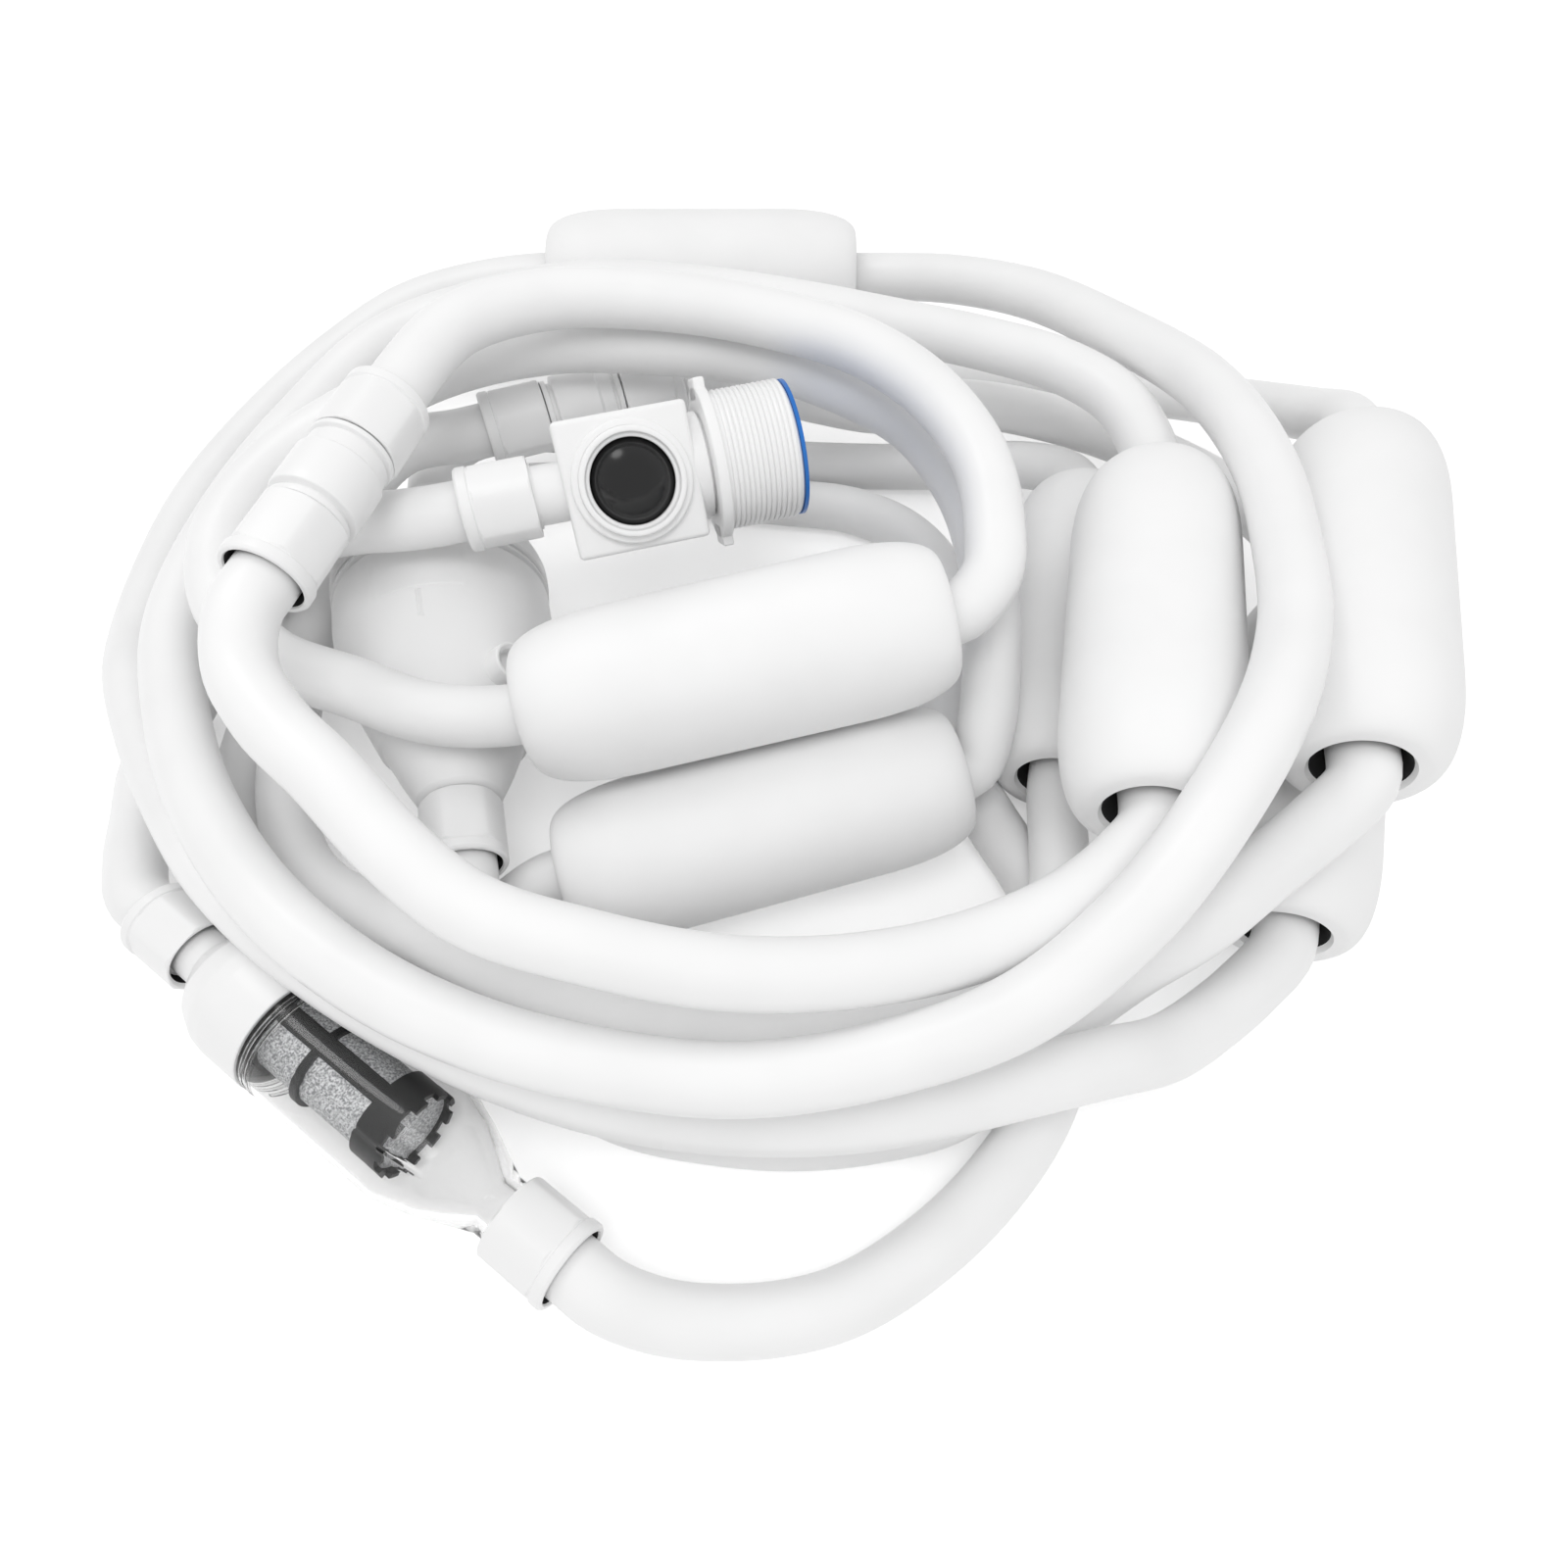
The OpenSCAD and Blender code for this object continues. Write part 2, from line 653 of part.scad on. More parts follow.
module valve_body() {
    color(white)
    in_valve()
    union() {
        difference() {
            rotate_extrude()
            polygon([[0, valve_seam + 0.3], [bulb_r - 0.6, valve_seam + 0.3], [bulb_r - 0.6, 0],
                [bulb_r - 2, 14], [bulb_r - 5, 27], [bulb_r - 9.5, 42], [bulb_r - 15, 56],
                [bulb_r - 21, 69], [bulb_r - 27, 82], [spigot_d / 2 + 4, valve_neck - 1],
                [spigot_d / 2, valve_neck - 1], [spigot_d / 2, valve_neck + 3], [0, valve_neck + 3]]);
            rotate_extrude()
            polygon([[0, valve_seam - 1], [valve_bore_r, valve_seam - 1], [valve_bore_r, 0],
                [valve_bore_r - 2, 13], [valve_bore_r - 5, 26], [valve_bore_r - 9.5, 40],
                [valve_bore_r - 15, 54], [valve_bore_r - 21, 67], [valve_bore_r - 27, 79],
                [way_d / 2, valve_neck - 5], [way_d / 2, valve_neck + 4], [0, valve_neck + 4]]);
            jet_place()
            cylinder(h = 30, r = jet_r + 0.2);
        }
        translate([0, 0, valve_end - seat])
        rotate([180, 0, 0])
        spigot(nut_len - seat + 0.6);
    }
}

jet_r = 9;

// The jet leaves the cone of the body to one side and upwards.
module jet_place() {
    rotate([0, 0, 133])
    translate([24, 0, 44])
    rotate([0, 78, 0])
    children();
}

module valve_jet() {
    color(white)
    in_valve()
    jet_place()
    tube(jet_r, jet_r - 3, 24);
}

// Paddle wheel on its axle, with the pinion that drives the timing gear.
module turbine_wheel() {
    color(white)
    in_valve()
    union() {
        translate([0, 0, turbine_z])
        cylinder(h = 16, r = 11);
        for (k = [0:turbine_paddles - 1])
            rotate([0, 0, 360 * k / turbine_paddles])
            translate([9, -0.9, turbine_z + 1])
            cube([28, 1.8, 14]);
        translate([0, 0, turbine_z])
        cylinder(h = plate_z - turbine_z + 6, r = 3);
        translate([0, 0, pinion_z])
        gear(pinion_teeth, 6, 180 / pinion_teeth);
    }
}

// Straight spur gear with slim teeth that keep play in the mesh.
module gear(teeth, h, start = 0) {
    pitch_r = gear_module * teeth / 2;
    foot = 0.62 * gear_module;
    tip = 0.24 * gear_module;
    union() {
        cylinder(h = h, r = pitch_r - 1.15 * gear_module);
        for (k = [0:teeth - 1])
            rotate([0, 0, start + 360 * k / teeth])
            linear_extrude(height = h)
            polygon([[pitch_r - 1.4 * gear_module, -foot], [pitch_r + 0.7 * gear_module, -tip],
                [pitch_r + 0.7 * gear_module, tip], [pitch_r - 1.4 * gear_module, foot]]);
    }
}

module timing_gear() {
    color(dark_grey)
    in_valve()
    translate([-(pinion_r + gear_r), 0, 0])
    difference() {
        union() {
            translate([0, 0, gear_z])
            gear(gear_teeth, 5);
            translate([0, 0, gear_z - 3])
            cylinder(h = plate_z - gear_z + 9, r = 3);
        }
        for (k = [0:3])
            rotate([0, 0, 90 * k + 45])
            translate([gear_r * 0.6, 0, gear_z - 1])
            cylinder(h = 8, r = 4);
    }
}

module gear_plate() {
    color(white)
    in_valve()
    difference() {
        translate([0, 0, plate_z])
        cylinder(h = 4, r = valve_bore_r - 0.3);
        translate([0, 0, plate_z - 1])
        cylinder(h = 6, r = 3 + fit);
        translate([-(pinion_r + gear_r), 0, plate_z - 1])
        cylinder(h = 6, r = 3 + fit);
        for (k = [0:2])
            rotate([0, 0, 60 * k - 60])
            translate([30, 0, plate_z - 1])
            cylinder(h = 6, r = 9);
    }
}

// ---------- wall connection ----------

ring_top = block_depth / 2 + 8;
ring_bottom = block_depth / 2 - 6;
lip_r = 17.8;
lip_z = ring_top - 4.5;
ball_z = lip_z - sqrt((ball_d / 2 + 0.5) ^ 2 - lip_r ^ 2);
chamber_r = ball_d / 2 + play;
spring_bottom = -block_depth / 2 + 4;

module disconnect_block() {
    color(white)
    in_block()
    difference() {
        union() {
            translate([-block_size / 2, -block_size / 2, -block_depth / 2])
            cube([block_size, block_size, block_depth]);
            cylinder(h = ring_bottom + 10, r = boss_d / 2);
            along_x(block_size / 2 - 1)
            cylinder(h = 6.5, r = 22.8);
        }
        translate([0, 0, spring_bottom])
        cylinder(h = block_depth, r = chamber_r);
        translate([0, 0, ring_bottom])
        cylinder(h = block_depth, r = boss_d / 2 - 3 + fit);
        along_x(-block_size / 2 - 1)
        cylinder(h = block_size / 2 + 1, r = way_d / 2);
        along_x(-block_size / 2 - 1)
        cylinder(h = neck_seat + 1, r = neck_r - 1.8 + fit);
        along_x(0)
        cylinder(h = block_size, r = 20.2);
    }
}

// Stepped ring that is pressed into the boss: its lip keeps the ball in.
module relief_ring() {
    color(white)
    in_block()
    rotate_extrude()
    polygon([[chamber_r, ring_bottom + 0.2], [boss_d / 2 - 3, ring_bottom + 0.2],
        [boss_d / 2 - 3, ring_top - 3], [boss_d / 2 - 4, ring_top],
        [boss_d / 2 - 5.4, ring_top], [boss_d / 2 - 6, ring_top - 2.5],
        [lip_r, ring_top - 2.5], [lip_r, lip_z], [chamber_r, lip_z - 6.5]]);
}

module relief_ball() {
    color(black)
    in_block()
    translate([0, 0, ball_z])
    sphere(ball_d / 2);
}

// Stack of spring turns between the chamber's floor and the ball.
module relief_spring() {
    turns = 3;
    wire = 1;
    low = spring_bottom + wire;
    high = ball_z - ball_d / 2 - 0.5;
    color(steel)
    in_block()
    for (k = [0:turns - 1])
        translate([0, 0, low + (high - low) * k / (turns - 1)])
        o_ring(8, wire);
}

module block_neck() {
    color(white)
    in_block()
    along_x(block_nut_end + seat)
    difference() {
        union() {
            spigot(nut_len - seat + 1);
            translate([0, 0, nut_len - seat])
            cylinder(h = neck_len + 0.3, r = neck_r);
            translate([0, 0, nut_len - seat + 1])
            cylinder(h = neck_len + neck_seat - 1.3, r = neck_r - 1.8);
        }
        translate([0, 0, -1])
        cylinder(h = 50, r = way_d / 2);
    }
}

module block_nut() {
    in_block()
    along_x(block_nut_end)
    hose_nut();
}

// Threaded barrel with its flange, two ears and the inner pipe that the block takes.
module wall_fitting() {
    color(white)
    in_block()
    difference() {
        union() {
            along_x(pipe_start)
            cylinder(h = fitting_start + 1 - pipe_start, r = 20.15);
            along_x(fitting_start + 0.4)
            cylinder(h = 5, r = thread_d / 2 + 3);
            for (side = [-1, 1])
                translate([fitting_start + 0.4, side * (flange_ears / 2 - 5) - 5, -9])
                cube([5, 10, 18]);
            along_x(fitting_start + 5)
            cylinder(h = thread_len + 0.4, r = thread_d / 2);
        }
        along_x(0)
        cylinder(h = fitting_start + 6, r = 16);
        along_x(fitting_start + 4)
        cylinder(h = thread_len + 6, r = thread_d / 2 - 4);
        along_x(groove_start)
        rotate_extrude()
        polygon([[18.2, 0], [21, 0], [21, 3], [18.2, 3]]);
    }
}

module restrictor_disk() {
    start = fitting_start + 5.4 + thread_len;
    color(blue)
    in_block()
    difference() {
        union() {
            along_x(start - 4)
            cylinder(h = 5, r = thread_d / 2 - 4.2);
            along_x(start + 0.1)
            cylinder(h = 1.6, r = thread_d / 2 - 0.8);
        }
        along_x(start - 6)
        cylinder(h = 12, r = restrictor_hole_d / 2);
    }
}

module fitting_seal() {
    color(black)
    in_block()
    along_x(groove_start + 1.5)
    o_ring(19.2, 0.95);
}

// ---------- far end ----------

module end_nut() {
    place(end_at, end_turn)
    hose_nut();
}

// Push-on connector for the cleaner's inlet pipe.
module end_connector() {
    color(white)
    place(end_at, end_turn)
    union() {
        translate([0, 0, seat])
        spigot(nut_len - seat + 1);
        difference() {
            rotate_extrude()
            polygon([[0, nut_len + 0.5], [spigot_d / 2 + 2.5, nut_len + 0.5],
                [spigot_d / 2 + 3.5, nut_len + 1.5], [spigot_d / 2 + 3.5, nut_len + 7],
                [spigot_d / 2 + 1, nut_len + 9], [spigot_d / 2 + 1, end_len - 1],
                [spigot_d / 2, end_len], [0, end_len]]);
            translate([0, 0, nut_len - 1])
            cylinder(h = end_len, r = way_d / 2);
            translate([0, 0, nut_len + 4])
            cylinder(h = end_len, r = 12.7);
        }
    }
}

// ---------- assembly ----------

wall_fitting();
restrictor_disk();
fitting_seal();
disconnect_block();
relief_ring();
relief_ball();
relief_spring();
block_neck();
block_nut();
filter_inlet_nut();
filter_cap();
filter_bowl();
filter_basket();
filter_mesh();
filter_seal();
filter_outlet_nut();
valve_inlet_nut();
valve_cap();
valve_body();
valve_jet();
valve_outlet_nut();
turbine_wheel();
timing_gear();
gear_plate();
swivel_nut(1, "a");  // swivel_1_nut_a
swivel_spindle(1);  // swivel_1_spindle
swivel_sleeve(1);  // swivel_1_sleeve
swivel_balls(1);  // swivel_1_balls
swivel_seal(1);  // swivel_1_seal
swivel_nut(1, "b");  // swivel_1_nut_b
swivel_nut(2, "a");  // swivel_2_nut_a
swivel_spindle(2);  // swivel_2_spindle
swivel_sleeve(2);  // swivel_2_sleeve
swivel_balls(2);  // swivel_2_balls
swivel_seal(2);  // swivel_2_seal
swivel_nut(2, "b");  // swivel_2_nut_b
hose_float(0);  // float_1
hose_float(1);  // float_2
hose_float(2);  // float_3
hose_float(3);  // float_4
hose_float(4);  // float_5
hose_float(5);  // float_6
hose_float(6);  // float_7
end_nut();
end_connector();
hose(hose_1_route);  // hose_1
hose(hose_2_route);  // hose_2
hose(hose_3_route);  // hose_3
hose(hose_4_route);  // hose_4
hose(hose_5_route);  // hose_5
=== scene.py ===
import json
import math

import bmesh
import bpy
import numpy as np
from mathutils import Euler, Matrix, Vector


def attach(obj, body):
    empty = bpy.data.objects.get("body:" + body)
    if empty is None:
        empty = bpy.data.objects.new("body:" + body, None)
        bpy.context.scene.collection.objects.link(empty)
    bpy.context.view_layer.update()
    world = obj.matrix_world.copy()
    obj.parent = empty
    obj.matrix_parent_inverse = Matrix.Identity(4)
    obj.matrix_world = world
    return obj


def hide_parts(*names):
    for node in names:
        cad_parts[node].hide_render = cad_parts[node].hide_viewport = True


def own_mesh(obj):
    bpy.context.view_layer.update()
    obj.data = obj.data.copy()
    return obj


# Feed hose of a pool cleaner, lying in a loose coil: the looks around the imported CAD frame.
# Places and routes are in metres. Outlines are in millimetres, as (radius, height, rounding).

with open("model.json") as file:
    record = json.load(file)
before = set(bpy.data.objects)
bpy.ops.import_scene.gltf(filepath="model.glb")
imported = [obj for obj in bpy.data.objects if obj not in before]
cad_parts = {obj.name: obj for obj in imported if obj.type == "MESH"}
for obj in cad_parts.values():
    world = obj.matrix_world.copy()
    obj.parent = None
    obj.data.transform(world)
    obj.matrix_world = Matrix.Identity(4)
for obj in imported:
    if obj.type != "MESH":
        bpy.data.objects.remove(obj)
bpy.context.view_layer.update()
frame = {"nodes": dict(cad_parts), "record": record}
mm = 0.001
lay = Vector((0.027, -0.026, 0.0))  # where the coil stands against the origin

view = {
    "at": Vector((0.0, -0.3, 0.46)) + lay,
    "tilt": 31.0,  # degrees up from straight down
    "focalPixels": 1100.0,  # in an image of 1600 x 1600
    "imagePixels": 1600.0,
    "sensor": 36.0,
}

camData = bpy.data.cameras.new("tableCamera")
camData.sensor_width = view["sensor"]
camData.lens = view["sensor"] * view["focalPixels"] / view["imagePixels"]
cam = bpy.data.objects.new("tableCamera", camData)
bpy.context.scene.collection.objects.link(cam)
cam.location = view["at"]
cam.rotation_euler = (math.radians(view["tilt"]), 0.0, 0.0)
bpy.context.scene.camera = cam
bpy.context.scene.view_settings.view_transform = "Standard"
print("camera stands")


def linear(hexColour):  # "#rrggbb" in sRGB to linear RGBA
    parts = [int(hexColour[i : i + 2], 16) / 255 for i in (1, 3, 5)]
    return tuple(c / 12.92 if c <= 0.04045 else ((c + 0.055) / 1.055) ** 2.4 for c in parts) + (1.0,)


def addNode(tree, kind, inputs=(), **settings):  # inputs: {socket: a value or another node's output}
    made = tree.nodes.new(kind)
    for name, value in settings.items():
        setattr(made, name, value)
    for key, value in dict(inputs).items():
        if isinstance(value, bpy.types.NodeSocket):
            tree.links.new(value, made.inputs[key])
        else:
            made.inputs[key].default_value = value
    return made


def newObject(name, data):
    made = bpy.data.objects.new(name, data)
    bpy.context.scene.collection.objects.link(made)
    return made


def cleaned(mesh):  # doubles merged, faces outward
    work = bmesh.new()
    work.from_mesh(mesh)
    bmesh.ops.remove_doubles(work, verts=work.verts, dist=0.002 * mm)
    bmesh.ops.recalc_face_normals(work, faces=work.faces)
    work.to_mesh(mesh)
    work.free()
    return mesh


def shaded(mesh, crease=32):
    mesh.polygons.foreach_set("use_smooth", [True] * len(mesh.polygons))
    mesh.set_sharp_from_angle(angle=math.radians(crease))
    return mesh


def plainCopy(obj, name):  # the evaluated shape as a plain mesh, in place of the object
    graph = bpy.context.evaluated_depsgraph_get()
    mesh = bpy.data.meshes.new_from_object(obj.evaluated_get(graph))
    mesh.transform(obj.matrix_world)
    for modifier in list(obj.modifiers):
        obj.modifiers.remove(modifier)
    bpy.data.objects.remove(obj)
    mesh.name = name
    return newObject(name, mesh)


def aim(turn, rise=0.0):
    t, r = math.radians(turn), math.radians(rise)
    return Vector((math.cos(r) * math.cos(t), math.cos(r) * math.sin(t), math.sin(r)))


def spot(at, turn, rise=0.0):  # lays what is made along +Z along that direction
    lean = Euler((0.0, math.radians(90 - rise), math.radians(turn)), "XYZ")
    return Matrix.Translation(Vector(at) + lay) @ lean.to_matrix().to_4x4()


def rounded(corners, steps=4):  # closed outline of (radius, height) with its corners rounded
    points = []
    for i, corner in enumerate(corners):
        here = np.array(corner[:2], float)
        rounding = corner[2] if len(corner) > 2 else 0.0
        before = np.array(corners[i - 1][:2], float) - here
        after = np.array(corners[(i + 1) % len(corners)][:2], float) - here
        lengths = np.linalg.norm(before), np.linalg.norm(after)
        if rounding <= 0 or min(lengths) < 1e-6:
            points.append(tuple(here))
            continue
        before, after = before / lengths[0], after / lengths[1]
        half = math.acos(max(-1.0, min(1.0, float(before @ after)))) / 2
        if half > math.radians(89):
            points.append(tuple(here))
            continue
        back = min(rounding / math.tan(half), 0.48 * lengths[0], 0.48 * lengths[1])
        radius = back * math.tan(half)
        middle = here + (before + after) / np.linalg.norm(before + after) * radius / math.sin(half)
        start, end = here + before * back - middle, here + after * back - middle
        sweep = math.atan2(start[0] * end[1] - start[1] * end[0], float(start @ end))
        for k in range(steps + 1):
            cos, sin = math.cos(sweep * k / steps), math.sin(sweep * k / steps)
            across, up = start[0] * cos - start[1] * sin, start[0] * sin + start[1] * cos
            points.append((middle[0] + across, middle[1] + up))
    return points


def turnedMesh(name, outline, sides=96, across=None):  # across(angle, radius, height) may change the radius
    rows = []
    for r, z in outline:
        ring = []
        for k in range(sides):
            a = 2 * math.pi * k / sides
            reach = across(a, r, z) if across and r > 1e-6 else r
            ring.append((reach * math.cos(a) * mm, reach * math.sin(a) * mm, z * mm))
        rows.append(ring)
    count = len(rows)
    verts = [v for ring in rows for v in ring]
    faces = []
    for i in range(count):
        for k in range(sides):
            n, m = (i + 1) % count, (k + 1) % sides
            faces.append((i * sides + k, i * sides + m, n * sides + m, n * sides + k))
    mesh = bpy.data.meshes.new(name)
    mesh.from_pydata(verts, [], faces)
    return cleaned(mesh)


def joined(name, meshes):
    work = bmesh.new()
    for mesh in meshes:
        work.from_mesh(mesh)
        bpy.data.meshes.remove(mesh)
    made = bpy.data.meshes.new(name)
    work.to_mesh(made)
    work.free()
    return made


def shadeInside(mesh, inside):  # second material slot, the painted shade, where inside(radius, height) holds, in mm
    for face in mesh.polygons:
        x, y, z = face.center / mm
        face.material_index = 1 if inside(math.hypot(x, y), z) else 0
    return mesh


def dress(obj, material, body, stands=(), paintedShade=None):
    # the optional second slot holds the painted shade of mouths and bores
    slots, wanted = obj.data.materials, [material] + [paintedShade] * bool(paintedShade)
    for k, finish in enumerate(wanted):
        if k < len(slots):
            slots[k] = finish
        else:
            slots.append(finish)
    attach(obj, body)
    if stands:
        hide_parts(*stands)
    return obj


def piece(name, mesh, place, material, body, stands=(), crease=32, paintedShade=None):
    mesh.transform(place)
    shaded(mesh, crease)
    return dress(newObject(name, mesh), material, body, stands, paintedShade)


# Materials


def plainMaterial(name, colour, roughness, **more):
    made = bpy.data.materials.new(name)
    made.use_nodes = True
    made.diffuse_color = linear(colour)
    shader = made.node_tree.nodes["Principled BSDF"]
    shader.inputs["Base Color"].default_value = linear(colour)
    shader.inputs["Roughness"].default_value = roughness
    for socket, value in more.items():
        shader.inputs[socket.replace("_", " ")].default_value = value
    return made, made.node_tree, shader


def mouldGrain(tree, shader, grain, depth):  # fine grain of a moulded skin, grain and depth in mm
    where = addNode(tree, "ShaderNodeTexCoord")
    noise = addNode(
        tree,
        "ShaderNodeTexNoise",
        {"Vector": where.outputs["Object"], "Scale": 1 / (grain * mm), "Detail": 2.0},
    )
    bump = addNode(
        tree, "ShaderNodeBump", {"Height": noise.outputs["Fac"], "Distance": depth * mm, "Strength": 0.5}
    )
    tree.links.new(bump.outputs["Normal"], shader.inputs["Normal"])


def clouding(tree, shader, pale, dark, size):  # slow change of tone over a moulded skin, size in mm
    where = addNode(tree, "ShaderNodeTexCoord")
    noise = addNode(
        tree, "ShaderNodeTexNoise", {"Vector": where.outputs["Object"], "Scale": 1 / (size * mm)}
    )
    ramp = addNode(tree, "ShaderNodeValToRGB", {"Fac": noise.outputs["Fac"]})
    ramp.color_ramp.elements[0].position = 0.3
    ramp.color_ramp.elements[0].color = linear(dark)
    ramp.color_ramp.elements[1].position = 0.7
    ramp.color_ramp.elements[1].color = linear(pale)
    tree.links.new(ramp.outputs["Color"], shader.inputs["Base Color"])


def softVinyl():  # extruded white vinyl: a broad satin shine along the hose
    made, tree, shader = plainMaterial("softVinyl", "#f6f6f6", 0.36, IOR=1.48)
    clouding(tree, shader, "#f7f7f7", "#f3f3f3", 45)
    mouldGrain(tree, shader, 2.2, 0.03)
    return made


def floatFoam():  # skinned closed-cell foam: even white, hardly any shine, a faint orange peel
    made, tree, shader = plainMaterial("floatFoam", "#f6f6f6", 0.48, IOR=1.45)
    clouding(tree, shader, "#f7f7f7", "#f4f4f4", 38)
    mouldGrain(tree, shader, 5.0, 0.07)
    return made


def mouldedAbs():  # injection moulded ABS: bright white with a soft gloss
    made, tree, shader = plainMaterial("mouldedAbs", "#f4f4f4", 0.32, IOR=1.5)
    mouldGrain(tree, shader, 1.6, 0.02)
    return made


def clearPolycarbonate():  # clear moulding with bright edges; light passes it on the way to the basket
    made, tree, shader = plainMaterial(
        "clearPolycarbonate", "#f0f0f0", 0.03, IOR=1.36, Transmission_Weight=1.0
    )
    rays = addNode(tree, "ShaderNodeLightPath")
    cover = addNode(
        tree, "ShaderNodeMapRange", {"Value": rays.outputs["Is Shadow Ray"], "To Min": 1.0, "To Max": 0.1}
    )
    tree.links.new(cover.outputs["Result"], shader.inputs["Alpha"])
    return made


def blackPhenolic():  # polished black ball: small sharp highlights
    return plainMaterial("blackPhenolic", "#060607", 0.2, IOR=1.55)[0]


def basketPolypropylene():  # matt dark grey moulding
    made, tree, shader = plainMaterial("basketPolypropylene", "#101011", 0.45)
    mouldGrain(tree, shader, 1.5, 0.03)
    return made


def wovenSteel():  # fine steel mesh, seen as a bright grain of about half a millimetre
    made, tree, shader = plainMaterial("wovenSteel", "#bfc0c1", 0.5, Metallic=0.1)
    where = addNode(tree, "ShaderNodeTexCoord")
    wires = addNode(
        tree,
        "ShaderNodeTexNoise",
        {"Vector": where.outputs["Object"], "Scale": 1 / (0.9 * mm), "Detail": 1.0},
    )
    bright = addNode(
        tree, "ShaderNodeMapRange", {"Value": wires.outputs["Fac"], "From Min": 0.35, "From Max": 0.65}
    )
    tone = addNode(
        tree,
        "ShaderNodeMix",
        {"Factor": bright.outputs["Result"], 6: linear("#8b8c8e"), 7: linear("#e6e7e8")},
        data_type="RGBA",
    )
    tree.links.new(tone.outputs[2], shader.inputs["Base Color"])
    return made


def springSteel():  # drawn stainless wire
    return plainMaterial("springSteel", "#b9bbbe", 0.22, Metallic=1.0)[0]


def sealRubber():  # moulded nitrile rubber
    return plainMaterial("sealRubber", "#0b0b0c", 0.55)[0]


def blueAcetal():  # coloured disk of a smooth hard plastic
    return plainMaterial("blueAcetal", "#1c6fc4", 0.35)[0]


def boreShade():  # painted shade: a dull dark colour deep in mouths and bores, standing in for the shade where no light comes
    return plainMaterial("boreShade", "#1c1c1d", 0.9)[0]


deepShade = boreShade()
vinyl, foam, whiteAbs, clearPlastic = softVinyl(), floatFoam(), mouldedAbs(), clearPolycarbonate()
ballBlack, basketGrey, meshSteel = blackPhenolic(), basketPolypropylene(), wovenSteel()
steel, rubber, blueDisk = springSteel(), sealRubber(), blueAcetal()
slotMaterials = {
    "white_plastic": whiteAbs,
    "hose_vinyl": vinyl,
    "float_foam": foam,
    "clear_plastic": clearPlastic,
    "basket_plastic": basketGrey,
    "mesh_steel": meshSteel,
    "spring_steel": steel,
    "seal_rubber": rubber,
    "ball_plastic": ballBlack,
    "blue_plastic": blueDisk,
}
print("materials mixed")


# Places of the straight pieces, as the CAD has them

filterAt, filterTurn, filterLength = Vector((-0.175, -0.178, 0.028)), -36, 0.24
valveAt, valveTurn, valveTop, valveEnd = Vector((-0.163, 0.029, 0.0515)), -77, -0.087, 0.128
swivelAt = [Vector((-0.178, 0.018, 0.158)), Vector((-0.103, 0.153, 0.084))]
swivelTurn, swivelLength = [74, 20], 0.102
blockAt, blockTurn, blockRoll, blockNutEnd = Vector((-0.0685, 0.0595, 0.1225)), 15.5, 50, -0.0725
endAt, endTurn = Vector((-0.16, 0.293, 0.0215)), 190

floats = {
    "at": [
        (-0.048, 0.293, 0.063), (-0.02, -0.0255, 0.101), (-0.009, -0.0685, 0.041), (0.154, -0.015, 0.107),
        (0.144, 0.044, 0.036), (0.244, 0.004, 0.109), (0.239, -0.034, 0.036),
    ],
    "turn": [180, 10.6, 14, 79, 78, 75, 72],
    "rise": [0, 7.5, 6, -2, 0, 0, 0],
    "length": 180.0,
    "diameter": 72.0,
    "faceDiameter": 45.0,
    "endLength": 44.0,
    "mouthDiameter": 37.0,
    "mouthDepth": 16.0,
    "shoulder": 2.3,  # power of the curve from the face to the straight side: 2 is an ellipse
}

hose = {
    "diameter": 0.026,
    "sides": 32,
    "step": 0.0045,
    "seat": 0.016,
    "straight": 0.012,
    "floatStraight": 0.006,
    "passage": 0.0135,
}


# Hoses


def port(at, out):  # straight end in a nut whose mouth is at that point and opens that way
    return [at - hose["seat"] * out, at + 0.002 * out, at + hose["straight"] * out]


def throughFloat(i):
    out = aim(floats["turn"][i], floats["rise"][i])
    middle = Vector(floats["at"][i])
    half = floats["length"] / 2 * mm
    far, near = half + hose["floatStraight"], half - floats["mouthDepth"] * mm
    return [middle - far * out, middle - near * out, middle + near * out, middle + far * out]


def neighbour(points, i):
    if i < 0:
        return 2 * points[0] - points[1]
    if i >= len(points):
        return 2 * points[-1] - points[-2]
    return points[i]


def heading(points, i):
    a, b = points[i] - neighbour(points, i - 1), neighbour(points, i + 1) - points[i]
    return (a / a.length * b.length + b / b.length * a.length) / (a.length + b.length)


def hoseLine(route):  # smooth curve through the route's points
    points = [Vector(p) for p in route]
    line = []
    for i in range(len(points) - 1):
        a, b = points[i], points[i + 1]
        span = (b - a).length
        u, v = heading(points, i) * span, heading(points, i + 1) * span
        count = max(1, math.ceil(span / hose["step"]))
        for k in range(count):
            t = k / count
            line.append(
                (2 * t**3 - 3 * t**2 + 1) * a + (t**3 - 2 * t**2 + t) * u
                + (3 * t**2 - 2 * t**3) * b + (t**3 - t**2) * v + lay
            )
    return line + [points[-1] + lay]


